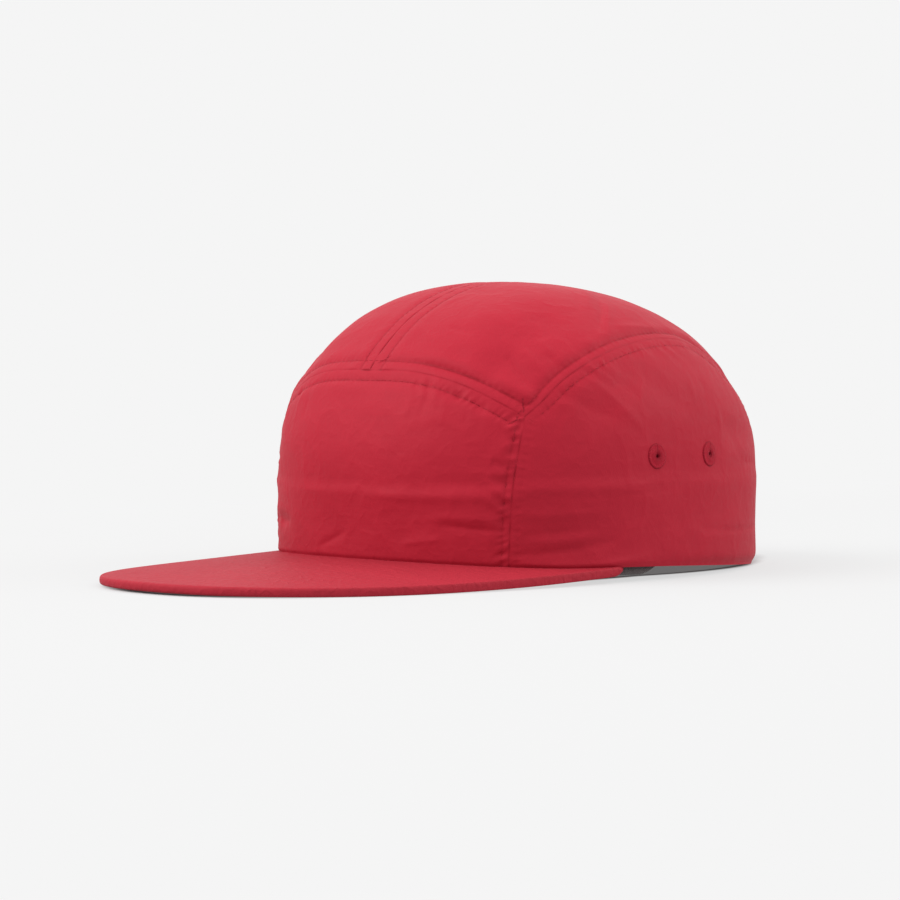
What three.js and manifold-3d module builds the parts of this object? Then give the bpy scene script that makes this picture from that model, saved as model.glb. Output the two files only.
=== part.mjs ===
// A five panel cap with a flat peak, standing as it rests on a table.
// Millimetres, +Z up, the peak towards -Y, the floor at Z = 0.
// The crown is one soft surface, cut along its seams into a front panel, two top panels and two
// side panels. A sweatband lines the rim, and a webbing strap with a plain slider closes the back.

import * as THREE from "three";
import { mergeVertices } from "three/addons/utils/BufferGeometryUtils.js";
import Module from "manifold-3d";

const wasm = await Module();
wasm.setup();

// Crown
const crownHalfWidth = 80.9;
const crownLength = 187.7; // from the front of the rim to the back
const crownHeight = 107; // from the floor to the top
const topOffset = 14.5; // how far the highest point lies ahead of the crown's middle
const wallHeight = 35.7; // height up to which the crown's wall is upright
const frontSquareness = 2.3; // exponent of the front half's plan curve, 2 for an ellipse
const backSquareness = 2.03; // the same for the back half
const frontRoundness = 2.06; // exponent of the curve from the wall over the top, seen from the side
const backRoundness = 2.08; // the same for the back half
const sideRoundness = 2.38; // the same, seen from the front
const clothThickness = 1.2;
const seamGap = 0.3; // between two panels, and between any two pieces that touch

// Seams
const seamCornerHalfWidth = 62.4; // where the front, top and side panels meet
const seamCornerHeight = 0.547 * crownHeight;
const frontPanelHeight = 0.697 * crownHeight; // top of the front panel, on the middle line
const frontSeamFootHalfWidth = 60.8; // half width of the front panel at its foot

// Peak
const peakLength = 92.3; // from the front of the rim to the peak's edge
const peakHalfWidth = 80.2;
const peakEndOffset = 36; // how far ahead of the crown's middle the peak ends
const peakSquareness = 2.37; // exponent of its outer edge in plan
const peakThickness = 3.2;
const peakSlope = 2.4; // degrees, down towards the edge
const peakCamber = 4.6; // how much lower the peak's sides are than its middle
const peakCamberPower = 2.5; // 2 for an even curve, more for a flatter middle and steeper sides
const peakNoseLength = 0.9; // how far the rounded edge reaches past the flat faces

// Sweatband
const bandHeight = 30;
const bandThickness = 1.2;
const bandRiseLength = 16; // length over which its lower edge rises behind the peak's ends
const bandEndLength = 16; // length of rim left to the strap's sewn end, beside the opening

// Back opening and strap
const openingHalfWidth = 32;
const openingHeight = 37;
const openingSeamTurn = 26; // degrees up the opening's arch at which the side seam meets it
const strapWidth = 18;
const strapThickness = 1.4;
const strapFootHeight = 3.6; // height of the strap's lower edge
const strapSewnLength = 13; // length of strap behind the side panel
const strapTailLength = 24; // free end past the slider
const strapReturnLength = 11; // sewn-back end of the short strap

// Slider buckle
const sliderLength = 27;
const sliderHeight = 24;
const sliderThickness = 2.4;
const sliderBarWidth = 3;
const sliderCornerRadius = 3;

// Eyelets
const eyeletDiameter = 8.4;
const eyeletHoleDiameter = 2.2;
const eyeletHeadHeight = 0.7;
const eyeletHeight = 44.2;
const eyeletSpacing = 32;
const eyeletOffset = 17.6; // how far ahead of the crown's middle the front eyelet is

// Facets
const acrossSteps = 11; // across half of the front panel, and across each top panel
const upSteps = 13; // up the front panel and up each side panel
const alongSteps = 24; // along each top panel and each side panel
const peakSteps = 36;
const peakRows = 5;
const bandSteps = 48;
const bandRows = 3;
const eyeletSides = 14;
const strapSteps = 52;

// Relief in the cloth
const ridgeHeight = 0.7; // the cloth stands out along the sweatband's top edge
const ridgeHalfWidth = 3.2;
const foldDepth = 1.3; // depth of the deepest fold

// The front panel's top seam, from the middle to the corner: across is a share of the corner's
// half width, and drop a share of the fall from the seam's middle to the corner
const frontSeamShares = [
  { across: 0, drop: 0 },
  { across: 0.38, drop: 0.04 },
  { across: 0.67, drop: 0.3 },
  { across: 0.86, drop: 0.64 },
  { across: 1, drop: 1 },
];

// The arched seam between a side panel and a top panel, from the corner to the back opening:
// along is a share of the crown's length from its front, across of its half width, up of its height
const archShares = [
  { along: 0.177, across: 0.798, up: 0.59 },
  { along: 0.229, across: 0.82, up: 0.666 },
  { along: 0.288, across: 0.831, up: 0.72 },
  { along: 0.373, across: 0.822, up: 0.769 },
  { along: 0.476, across: 0.787, up: 0.798 },
  { along: 0.537, across: 0.759, up: 0.802 },
  { along: 0.62, across: 0.717, up: 0.788 },
  { along: 0.689, across: 0.701, up: 0.742 },
  { along: 0.785, across: 0.664, up: 0.634 },
  { along: 0.872, across: 0.588, up: 0.484 },
  { along: 0.935, across: 0.47, up: 0.315 },
];

// Soft folds on each side of the crown. around is in degrees from the front, up a share of the
// crown's height, tilt in degrees from level. long and wide are shares of the crown's half width,
// and deep is a share of the deepest fold, less than 0 where the cloth stands out. It only stands
// out over the sweatband, which keeps it from falling in.
const folds = [
  { around: 22, up: 0.2, tilt: 4, long: 0.3, wide: 0.06, deep: -0.45 },
  { around: 66, up: 0.2, tilt: 5, long: 0.24, wide: 0.06, deep: -0.5 },
  { around: 97, up: 0.18, tilt: -4, long: 0.26, wide: 0.06, deep: -0.45 },
  { around: 130, up: 0.18, tilt: 3, long: 0.18, wide: 0.06, deep: -0.6 },
  { around: 128, up: 0.48, tilt: 2, long: 0.22, wide: 0.07, deep: 0.7 },
  { around: 72, up: 0.58, tilt: 35, long: 0.24, wide: 0.08, deep: 0.6 },
  { around: 92, up: 0.65, tilt: -30, long: 0.22, wide: 0.07, deep: 0.5 },
  { around: 48, up: 0.76, tilt: 40, long: 0.26, wide: 0.09, deep: 0.8 },
  { around: 66, up: 0.86, tilt: 12, long: 0.26, wide: 0.08, deep: 0.6 },
  { around: 150, up: 0.62, tilt: -20, long: 0.26, wide: 0.09, deep: 0.7 },
];

const radians = THREE.MathUtils.degToRad;
const lerp = THREE.MathUtils.lerp;
const crownFront = crownLength / 2;
const crownBack = crownLength / 2;

// Crown surface

// 1 on the crown, less inside it and more outside
function crownMeasure(point) {
  const along = point.y + topOffset;
  const ahead = along < 0;
  const reach = ahead ? crownFront - topOffset : crownBack + topOffset;
  const squareness = ahead ? frontSquareness : backSquareness;
  const sideways = point.x ** 2 / (point.x ** 2 + along ** 2 + 1e-9);
  const roundness = lerp(ahead ? frontRoundness : backRoundness, sideRoundness, sideways);
  const shareAcross = Math.abs(point.x) / crownHalfWidth;
  const shareAlong = Math.abs(along) / reach;
  const level = (shareAcross ** squareness + shareAlong ** squareness) ** (1 / squareness);
  const rise = Math.max(point.z - wallHeight, 0) / (crownHeight - wallHeight);
  return (level ** roundness + rise ** roundness) ** (1 / roundness);
}

const crownHeart = new THREE.Vector3(0, -topOffset, wallHeight);

// The point where the ray from a centre through a point meets the crown
function pullToCrown(point, centre = crownHeart) {
  const direction = point.clone().sub(centre).normalize();
  let near = 0;
  let far = 2 * (crownFront + crownBack);
  const probe = new THREE.Vector3();
  for (let i = 0; i < 44; i += 1) {
    const middle = (near + far) / 2;
    probe.copy(centre).addScaledVector(direction, middle);
    if (crownMeasure(probe) < 1) near = middle;
    else far = middle;
  }
  return centre.clone().addScaledVector(direction, near);
}

// The same, at the point's own height, so that a rim point keeps its height
function pullLevel(point) {
  return pullToCrown(point, new THREE.Vector3(0, -topOffset, point.z));
}

function crownNormal(point) {
  const step = 0.05;
  const slope = new THREE.Vector3();
  for (const axis of ["x", "y", "z"]) {
    const up = point.clone();
    const down = point.clone();
    up[axis] += step;
    down[axis] -= step;
    slope[axis] = crownMeasure(up) - crownMeasure(down);
  }
  return slope.normalize();
}

// How far below the smooth crown its cloth lies at a point
function dent(point) {
  const around = THREE.MathUtils.radToDeg(Math.atan2(Math.abs(point.x), -(point.y + topOffset)));
  const aboveBand = point.z - rimHeight(point.x, point.y) - bandHeight;
  const openness = THREE.MathUtils.smoothstep(around, 140, 155);
  let depth = -ridgeHeight * Math.exp(-((aboveBand / ridgeHalfWidth) ** 2)) * (1 - openness);
  for (const fold of folds) {
    const across = radians(around - fold.around) * Math.hypot(point.x, point.y + topOffset);
    const up = point.z - fold.up * crownHeight;
    const tilt = radians(fold.tilt);
    const lengthways = (across * Math.cos(tilt) + up * Math.sin(tilt)) / (fold.long * crownHalfWidth);
    const widthways = (up * Math.cos(tilt) - across * Math.sin(tilt)) / (fold.wide * crownHalfWidth);
    depth += foldDepth * fold.deep * Math.exp(-(lengthways ** 2) - widthways ** 2);
  }
  return depth;
}

// The point of the cloth at a depth below its outer face, for a point on the smooth crown
function inset(point, depth) {
  return point.clone().addScaledVector(crownNormal(point), -depth - dent(point));
}

// Peak surface

// How far below the front of the rim the peak's top surface lies
function peakDrop(x, y) {
  const camber = peakCamber * Math.abs(x / peakHalfWidth) ** peakCamberPower;
  return camber - Math.tan(radians(peakSlope)) * (y + crownFront);
}

// The peak's outer edge in plan; turn runs from -90 degrees at one end to 90 at the other
function peakEdge(turn) {
  const power = 2 / peakSquareness;
  const depth = peakLength + crownFront - peakEndOffset;
  const across = Math.sign(Math.sin(turn)) * Math.pow(Math.abs(Math.sin(turn)), power);
  const ahead = Math.pow(Math.max(Math.cos(turn), 0), power);
  return new THREE.Vector2(peakHalfWidth * across, -peakEndOffset - depth * ahead);
}

function peakLowestDrop() {
  let drop = 0;
  for (let i = 0; i <= peakSteps; i += 1) {
    const edge = peakEdge(Math.PI * (i / peakSteps - 0.5));
    drop = Math.max(drop, peakDrop(edge.x, edge.y));
  }
  return drop;
}

// The peak stands on its lowest edge
const peakRootHeight = peakLowestDrop() + peakThickness;

function peakTop(x, y) {
  return peakRootHeight - peakDrop(x, y);
}

// Height of the crown's rim: on the peak in front, then down to the floor at the back
function rimHeight(x, y) {
  if (y <= -peakEndOffset) return peakTop(x, y) + seamGap;
  const end = peakTop(peakHalfWidth, -peakEndOffset) + seamGap;
  const share = (y + peakEndOffset) / (crownBack + peakEndOffset);
  const fall = THREE.MathUtils.clamp(share / 0.86, 0, 1);
  return end * (1 - fall ** 1.4);
}

function rimPoint(x, y) {
  let point = new THREE.Vector3(x, y, 0);
  for (let i = 0; i < 4; i += 1) {
    point = pullLevel(new THREE.Vector3(x, y, rimHeight(point.x, point.y)));
  }
  return point;
}

// Seams

function evenly(points, steps) {
  const curve = new THREE.CatmullRomCurve3(points, false, "centripetal");
  curve.arcLengthDivisions = 400;
  return curve.getSpacedPoints(steps);
}

function onCrown(points) {
  return points.map((point) => pullToCrown(point));
}

function mirrored(points) {
  return points.map((point) => new THREE.Vector3(-point.x, point.y, point.z));
}

// The crown's point at a half width and height, on its front (-1) or back (1)
function crownAt(across, height, end) {
  const point = new THREE.Vector3(across, -topOffset, height);
  let near = 0;
  let far = 2 * crownLength;
  for (let i = 0; i < 44; i += 1) {
    const middle = (near + far) / 2;
    point.y = -topOffset + end * middle;
    if (crownMeasure(point) < 1) near = middle;
    else far = middle;
  }
  return point;
}

const seamCorner = crownAt(seamCornerHalfWidth, seamCornerHeight, -1);

function frontSeam() {
  const rows = frontSeamShares.map((row) =>
    crownAt(row.across * seamCornerHalfWidth, lerp(frontPanelHeight, seamCornerHeight, row.drop), -1));
  return onCrown(evenly(rows, acrossSteps));
}

function cornerSeam() {
  const level = crownAt(frontSeamFootHalfWidth, peakRootHeight, -1);
  const foot = rimPoint(level.x, level.y);
  const halfway = crownAt(lerp(foot.x, seamCorner.x, 0.55), lerp(foot.z, seamCorner.z, 0.5), -1);
  return onCrown(evenly([foot, halfway, seamCorner], upSteps));
}

// The opening's edge, from its top on the middle line (90 degrees) down to the rim (0)
function openingEdge(turn) {
  const across = openingHalfWidth * Math.cos(turn);
  return crownAt(across, openingHeight * Math.sin(turn), 1);
}

function openingTopEdge() {
  const low = radians(openingSeamTurn);
  const points = [];
  for (let i = 0; i <= acrossSteps; i += 1) points.push(openingEdge(lerp(Math.PI / 2, low, i / acrossSteps)));
  return points;
}

function openingSideEdge() {
  const high = radians(openingSeamTurn);
  const points = [];
  for (let i = 0; i <= upSteps; i += 1) points.push(openingEdge(lerp(0, high, i / upSteps)));
  return points;
}

function archSeam() {
  const rows = archShares.map((row) => new THREE.Vector3(
    row.across * crownHalfWidth,
    row.along * crownLength - crownFront,
    row.up * crownHeight,
  ));
  const foot = openingEdge(radians(openingSeamTurn));
  return onCrown(evenly([seamCorner, ...onCrown(rows), foot], alongSteps));
}

function middleSeam() {
  const points = [];
  const start = crownAt(0, frontPanelHeight, -1);
  const end = openingEdge(Math.PI / 2);
  const angleOf = (point) => Math.atan2(point.z - crownHeart.z, point.y - crownHeart.y);
  for (let i = 0; i <= 60; i += 1) {
    const angle = lerp(angleOf(start), angleOf(end), i / 60);
    const beside = new THREE.Vector3(0, Math.cos(angle), Math.sin(angle));
    points.push(pullToCrown(beside.add(crownHeart)));
  }
  return onCrown(evenly(points, alongSteps));
}

function sideRim(foot) {
  const end = openingEdge(0);
  const from = Math.atan2(foot.x, -(foot.y + topOffset));
  const to = Math.atan2(end.x, -(end.y + topOffset));
  const points = [];
  for (let i = 0; i <= 60; i += 1) {
    const turn = lerp(from, to, i / 60);
    points.push(rimPoint(Math.sin(turn), -topOffset - Math.cos(turn)));
  }
  return evenly(points, alongSteps);
}

function frontRim(foot) {
  const to = Math.atan2(foot.x, -(foot.y + topOffset));
  const points = [];
  for (let i = 0; i <= 2 * acrossSteps; i += 1) {
    const turn = to * (i / acrossSteps - 1);
    points.push(rimPoint(Math.sin(turn), -topOffset - Math.cos(turn)));
  }
  return evenly(points, 2 * acrossSteps);
}

// Solids

// A patch of the crown between four edges: low and high run along it, start and end across it
function patch(low, high, start, end) {
  const columns = low.length - 1;
  const rows = start.length - 1;
  const grid = [];
  for (let j = 0; j <= rows; j += 1) {
    const v = j / rows;
    const row = [];
    for (let i = 0; i <= columns; i += 1) {
      const u = i / columns;
      const point = low[i].clone().lerp(high[i], v);
      point.add(start[j].clone().lerp(end[j], u));
      const corners = low[0].clone().lerp(low[columns], u).lerp(high[0].clone().lerp(high[columns], u), v);
      point.sub(corners);
      const onEdge = j === 0 || j === rows || i === 0 || i === columns;
      row.push(onEdge ? point : pullToCrown(point));
    }
    grid.push(row);
  }
  return grid;
}

// Draws the grid's four edges in by half a seam's gap
function drawnIn(grid) {
  const rows = grid.length - 1;
  const columns = grid[0].length - 1;
  const moved = grid.map((row) => row.map((point) => point.clone()));
  const draw = (j, i, nextJ, nextI, besideJ, besideI) => {
    const inward = grid[nextJ][nextI].clone().sub(grid[j][i]);
    const tangent = grid[besideJ][besideI].clone().sub(grid[j][i]).normalize();
    inward.addScaledVector(tangent, -inward.dot(tangent)).normalize();
    moved[j][i].addScaledVector(inward, seamGap / 2);
  };
  for (let i = 0; i <= columns; i += 1) {
    const beside = i < columns ? i + 1 : i - 1;
    draw(0, i, 1, i, 0, beside);
    draw(rows, i, rows - 1, i, rows, beside);
  }
  for (let j = 0; j <= rows; j += 1) {
    const beside = j < rows ? j + 1 : j - 1;
    draw(j, 0, j, 1, beside, 0);
    draw(j, columns, j, columns - 1, beside, columns);
  }
  return moved;
}

// A closed body between two grids of points, the first with its faces out
function bodyBetween(outer, inner) {
  const rows = outer.length - 1;
  const columns = outer[0].length - 1;
  const vertices = [];
  const faces = [];
  for (const row of [...outer, ...inner]) for (const p of row) vertices.push(p.x, p.y, p.z);
  const count = (rows + 1) * (columns + 1);
  const at = (side, j, i) => side * count + j * (columns + 1) + i;
  const quad = (a, b, c, d) => faces.push(a, b, c, a, c, d);
  for (let j = 0; j < rows; j += 1) {
    for (let i = 0; i < columns; i += 1) {
      quad(at(0, j, i), at(0, j, i + 1), at(0, j + 1, i + 1), at(0, j + 1, i));
      quad(at(1, j, i), at(1, j + 1, i), at(1, j + 1, i + 1), at(1, j, i + 1));
    }
  }
  for (let i = 0; i < columns; i += 1) {
    quad(at(0, 0, i), at(1, 0, i), at(1, 0, i + 1), at(0, 0, i + 1));
    quad(at(0, rows, i), at(0, rows, i + 1), at(1, rows, i + 1), at(1, rows, i));
  }
  for (let j = 0; j < rows; j += 1) {
    quad(at(0, j, 0), at(0, j + 1, 0), at(1, j + 1, 0), at(1, j, 0));
    quad(at(0, j, columns), at(1, j, columns), at(1, j + 1, columns), at(0, j + 1, columns));
  }
  const geometry = new THREE.BufferGeometry();
  geometry.setAttribute("position", new THREE.Float32BufferAttribute(vertices, 3));
  geometry.setIndex(faces);
  return geometry;
}

function panel(grid) {
  const edged = drawnIn(grid);
  const layer = (depth) => edged.map((row) => row.map((point) => inset(point, depth)));
  return bodyBetween(layer(0), layer(clothThickness));
}

function solidOf(geometry) {
  const bare = new THREE.BufferGeometry();
  bare.setAttribute("position", geometry.getAttribute("position"));
  if (geometry.index) bare.setIndex(geometry.index);
  const merged = mergeVertices(bare, 1e-4);
  return new wasm.Manifold(new wasm.Mesh({
    numProp: 3,
    vertProperties: new Float32Array(merged.attributes.position.array),
    triVerts: new Uint32Array(merged.index.array),
  }));
}

function geometryOf(solid) {
  const mesh = solid.getMesh();
  const geometry = new THREE.BufferGeometry();
  geometry.setAttribute("position", new THREE.BufferAttribute(mesh.vertProperties, 3));
  geometry.setIndex(new THREE.BufferAttribute(mesh.triVerts, 1));
  return geometry;
}

// Turns a piece made round the Z axis so that it stands on the crown's side at a point
function standingOn(point) {
  const turn = new THREE.Quaternion().setFromUnitVectors(new THREE.Vector3(0, 0, 1), crownNormal(point));
  return new THREE.Matrix4().compose(point, turn, new THREE.Vector3(1, 1, 1));
}

function eyeletPlaces(side) {
  return [0, 1].map((place) => {
    const y = place * eyeletSpacing - eyeletOffset;
    return inset(pullLevel(new THREE.Vector3(side * crownHalfWidth, y, eyeletHeight)), 0);
  });
}

function eyelet(place) {
  const half = eyeletDiameter / 2;
  const hole = eyeletHoleDiameter / 2;
  const ring = half - hole;
  const back = -clothThickness - eyeletHeadHeight / 2;
  const profile = [
    [hole, back * 0.6], [hole + ring * 0.25, back], [half - ring * 0.15, back], [half, back * 0.7],
    [half, eyeletHeadHeight * 0.35], [half - ring * 0.3, eyeletHeadHeight],
    [hole + ring * 0.3, eyeletHeadHeight * 0.8], [hole, eyeletHeadHeight * 0.1], [hole, back * 0.6],
  ].map(([radius, height]) => new THREE.Vector2(radius, height));
  return new THREE.LatheGeometry(profile, eyeletSides)
    .rotateX(Math.PI / 2)
    .applyMatrix4(standingOn(place));
}

function eyeletCutter(place) {
  return solidOf(new THREE.CylinderGeometry(
    eyeletDiameter / 2 + seamGap, eyeletDiameter / 2 + seamGap, 6 * clothThickness, eyeletSides,
  ).rotateX(Math.PI / 2).applyMatrix4(standingOn(place)));
}

// The side panel with the rows of its grid running from the rim to the arched seam
function sidePanel(grid, side) {
  const faced = side > 0 ? grid : grid.map((row) => mirrored(row).reverse());
  let solid = solidOf(panel(faced));
  for (const place of eyeletPlaces(side)) solid = solid.subtract(eyeletCutter(place));
  return geometryOf(solid);
}

function topPanel(grid, side) {
  return panel(side > 0 ? grid.map((row) => [...row].reverse()) : grid.map((row) => mirrored(row)));
}

function peak() {
  const tip = peakEdge(Math.PI / 2);
  const rootTurn = Math.atan2(tip.x, -(tip.y + topOffset));
  const top = [];
  const under = [];
  for (let j = 0; j <= peakRows + 1; j += 1) {
    top.push([]);
    under.push([]);
  }
  for (let i = 0; i <= peakSteps; i += 1) {
    const share = i / peakSteps - 0.5;
    const edge = peakEdge(Math.PI * share * 0.994);
    const turn = 2 * share * rootTurn;
    const wall = pullLevel(new THREE.Vector3(Math.sin(turn), -topOffset - Math.cos(turn), peakRootHeight));
    const out = new THREE.Vector2(crownNormal(wall).x, crownNormal(wall).y);
    const root = new THREE.Vector2(wall.x, wall.y).addScaledVector(out, -clothThickness);
    const way = edge.clone().sub(root);
    const flatShare = 1 - peakNoseLength / way.length();
    for (let j = 0; j <= peakRows + 1; j += 1) {
      const nose = j > peakRows;
      const at = root.clone().addScaledVector(way, nose ? 1 : (flatShare * j) / peakRows);
      const height = peakTop(at.x, at.y);
      const rounding = nose ? peakThickness * 0.32 : 0;
      top[j].push(new THREE.Vector3(at.x, at.y, height - rounding));
      under[j].push(new THREE.Vector3(at.x, at.y, height - peakThickness + rounding));
    }
  }
  return bodyBetween(under, top);
}

function sweatband() {
  const opening = openingEdge(0);
  const around = Math.atan2(opening.x, -(opening.y + topOffset));
  const end = around - bandEndLength / Math.hypot(opening.x, opening.y + topOffset);
  const rows = { outer: [], inner: [] };
  for (let j = 0; j <= bandRows; j += 1) {
    rows.outer.push([]);
    rows.inner.push([]);
    for (let i = 0; i <= bandSteps; i += 1) {
      const turn = end * (2 * i / bandSteps - 1);
      const rim = rimPoint(Math.sin(turn), -topOffset - Math.cos(turn));
      const behind = THREE.MathUtils.clamp((rim.y + peakEndOffset) / bandRiseLength, 0, 1);
      const low = rim.z - lerp(peakThickness, 0, behind) + seamGap;
      const height = lerp(low, rim.z + bandHeight, j / bandRows);
      const wall = pullLevel(new THREE.Vector3(Math.sin(turn), -topOffset - Math.cos(turn), height));
      const inward = crownNormal(wall).negate();
      const depth = clothThickness + seamGap;
      rows.outer[j].push(wall.clone().addScaledVector(inward, depth));
      rows.inner[j].push(wall.clone().addScaledVector(inward, depth + bandThickness));
    }
  }
  return bodyBetween(rows.outer, rows.inner);
}

// Strap and slider

// A point in plan on the strap's middle line against the inside of the crown's cloth, or as far
// inside of that line as deeper says
function strapLine(x, deeper = 0) {
  const wall = crownAt(Math.abs(x), strapFootHeight + strapWidth / 2, 1);
  const normal = crownNormal(wall);
  const out = new THREE.Vector2(normal.x * Math.sign(x), normal.y).normalize();
  const depth = clothThickness + seamGap + strapThickness / 2 + deeper;
  return new THREE.Vector2(x, wall.y).addScaledVector(out, -depth);
}

// Webbing on edge: a line in plan, given the strap's thickness and raised to its width
function webbing(line) {
  const curve = new THREE.SplineCurve(line);
  const left = [];
  const right = [];
  for (let i = 0; i <= strapSteps; i += 1) {
    const share = i / strapSteps;
    const point = curve.getPointAt(share);
    const tangent = curve.getTangentAt(share);
    const normal = new THREE.Vector2(-tangent.y, tangent.x).multiplyScalar(strapThickness / 2);
    left.push(point.clone().add(normal));
    right.push(point.clone().sub(normal));
  }
  const outline = new THREE.Shape([...left, ...right.reverse()]);
  return new THREE.ExtrudeGeometry(outline, { depth: strapWidth, bevelEnabled: false })
    .translate(0, 0, strapFootHeight);
}

const besideBar = sliderThickness / 2 + seamGap + strapThickness / 2;
const roundBar = sliderBarWidth / 2 + 2 * seamGap + strapThickness / 2;
const slotWidth = (sliderLength - 3 * sliderBarWidth) / 2;
const slotMiddle = sliderBarWidth / 2 + slotWidth / 2;
const endBar = sliderLength / 2 - sliderBarWidth / 2;
const sliderY = strapLine(endBar).y;
const tailDepth = besideBar + strapThickness + 2 * seamGap;

function strapEnd(side) {
  const x = openingHalfWidth + strapSewnLength;
  return [1, 0.85, 0.7, 0.55].map((share) => strapLine(side * x * share));
}

// The long strap comes from one side, over the slider's middle bar and back behind it
function longStrap() {
  const at = (x, out) => new THREE.Vector2(x, sliderY + out);
  return webbing([
    ...strapEnd(1),
    at(endBar + 1, -besideBar),
    at(slotMiddle + slotWidth * 0.2, -besideBar * 0.8),
    at(slotMiddle - slotWidth * 0.2, besideBar * 0.8),
    at(0, besideBar),
    at(-slotMiddle + slotWidth * 0.32, besideBar * 0.6),
    at(-slotMiddle + slotWidth * 0.12, -besideBar * 1.3),
    at(-endBar, -tailDepth),
    strapLine(-endBar - strapTailLength * 0.5, tailDepth),
    strapLine(-endBar - strapTailLength, tailDepth),
  ]);
}

// The short strap comes from the other side, round the slider's end bar and back on itself
function shortStrap() {
  const at = (x, out) => new THREE.Vector2(x, sliderY + out);
  return webbing([
    ...strapEnd(-1),
    at(-endBar - sliderBarWidth, besideBar * 0.9),
    at(-endBar, besideBar),
    at(-endBar + roundBar * 0.75, besideBar * 0.85),
    at(-endBar + roundBar, 0),
    at(-endBar + roundBar * 0.75, -besideBar * 0.85),
    at(-endBar, -besideBar),
    strapLine(-endBar - strapReturnLength * 0.5, besideBar),
    strapLine(-endBar - strapReturnLength, besideBar),
  ]);
}

function slider() {
  const rounded = (shape, left, low, width, height, radius) => shape
    .moveTo(left + radius, low)
    .lineTo(left + width - radius, low)
    .absarc(left + width - radius, low + radius, radius, -Math.PI / 2, 0)
    .lineTo(left + width, low + height - radius)
    .absarc(left + width - radius, low + height - radius, radius, 0, Math.PI / 2)
    .lineTo(left + radius, low + height)
    .absarc(left + radius, low + height - radius, radius, Math.PI / 2, Math.PI)
    .lineTo(left, low + radius)
    .absarc(left + radius, low + radius, radius, Math.PI, 1.5 * Math.PI);
  const frame = rounded(new THREE.Shape(), -sliderLength / 2, -sliderHeight / 2, sliderLength, sliderHeight,
    sliderCornerRadius);
  const slotHeight = strapWidth + 2 * seamGap;
  for (const side of [-1, 1]) {
    frame.holes.push(rounded(new THREE.Path(), side * slotMiddle - slotWidth / 2, -slotHeight / 2, slotWidth,
      slotHeight, 1));
  }
  return new THREE.ExtrudeGeometry(frame, { depth: sliderThickness, bevelEnabled: false, curveSegments: 4 })
    .translate(0, 0, -sliderThickness / 2)
    .rotateX(Math.PI / 2)
    .translate(0, sliderY, strapFootHeight + strapWidth / 2);
}

// Materials and assembly

const cloth = new THREE.MeshStandardMaterial({ color: 0xb8303f, roughness: 0.55, metalness: 0 });
const peakCloth = new THREE.MeshStandardMaterial({ color: 0xbd3443, roughness: 0.55, metalness: 0 });
const thread = new THREE.MeshStandardMaterial({ color: 0xa82636, roughness: 0.6, metalness: 0 });
const bandCloth = new THREE.MeshStandardMaterial({ color: 0x332827, roughness: 0.9, metalness: 0 });
const webbingCloth = new THREE.MeshStandardMaterial({ color: 0xa62a38, roughness: 0.8, metalness: 0 });
const plastic = new THREE.MeshStandardMaterial({ color: 0x1b1b1d, roughness: 0.45, metalness: 0 });

const cap = new THREE.Group();

function add(name, geometry, material) {
  const mesh = new THREE.Mesh(geometry, material);
  mesh.name = name;
  cap.add(mesh);
}

const halfFrontSeam = frontSeam();
const corner = cornerSeam();
const foot = corner[0];
const arch = archSeam();
const middle = middleSeam();
const wholeFrontSeam = [...mirrored(halfFrontSeam.slice(1)).reverse(), ...halfFrontSeam];

add("front_panel", panel(patch(frontRim(foot), wholeFrontSeam, mirrored(corner), corner)), cloth);

const topGrid = patch(middle, arch, halfFrontSeam, openingTopEdge());
add("top_panel_left", topPanel(topGrid, 1), cloth);
add("top_panel_right", topPanel(topGrid, -1), cloth);

const sideGrid = patch(sideRim(foot), arch, corner, openingSideEdge());
for (const [name, side] of [["left", 1], ["right", -1]]) {
  add(`side_panel_${name}`, sidePanel(sideGrid, side), cloth);
  eyeletPlaces(side).forEach((place, i) => add(`eyelet_${name}_${i + 1}`, eyelet(place), thread));
}

add("peak", peak(), peakCloth);
add("sweatband", sweatband(), bandCloth);
add("strap_long", longStrap(), webbingCloth);
add("strap_short", shortStrap(), webbingCloth);
add("slider_buckle", slider(), plastic);

const box = new THREE.Box3().setFromObject(cap);
const middleOfBox = box.getCenter(new THREE.Vector3());
for (const mesh of cap.children) mesh.geometry.translate(-middleOfBox.x, -middleOfBox.y, -box.min.z);

export default cap;
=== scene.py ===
"""Looks of a five panel cap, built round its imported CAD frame.

Shapes are worked out in millimetres with the middle of the crown at y = 0, as in the part's source,
and each mesh is moved to the row frame, in metres, when it is made.
"""

import logging
import math
from dataclasses import dataclass, field
from enum import Enum

import bmesh
import bpy
import numpy as np
from mathutils import Matrix, Vector, noise


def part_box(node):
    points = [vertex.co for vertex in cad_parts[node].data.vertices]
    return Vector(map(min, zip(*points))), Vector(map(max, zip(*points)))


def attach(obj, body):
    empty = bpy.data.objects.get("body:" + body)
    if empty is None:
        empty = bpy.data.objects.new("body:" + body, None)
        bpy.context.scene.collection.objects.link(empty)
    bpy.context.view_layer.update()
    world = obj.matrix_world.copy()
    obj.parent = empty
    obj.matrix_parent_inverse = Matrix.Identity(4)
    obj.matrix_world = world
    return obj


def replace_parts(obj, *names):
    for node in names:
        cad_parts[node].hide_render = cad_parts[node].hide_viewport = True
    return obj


MM = 0.001
LOG = logging.getLogger("cap")
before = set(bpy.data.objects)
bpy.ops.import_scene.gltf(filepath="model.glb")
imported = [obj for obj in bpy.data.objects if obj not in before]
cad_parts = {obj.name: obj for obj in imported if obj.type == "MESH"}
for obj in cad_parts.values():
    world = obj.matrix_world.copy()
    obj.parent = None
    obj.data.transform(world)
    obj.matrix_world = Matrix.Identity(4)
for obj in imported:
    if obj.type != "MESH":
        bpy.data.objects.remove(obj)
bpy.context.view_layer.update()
Points = np.ndarray
Colour = tuple[float, float, float]


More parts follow.
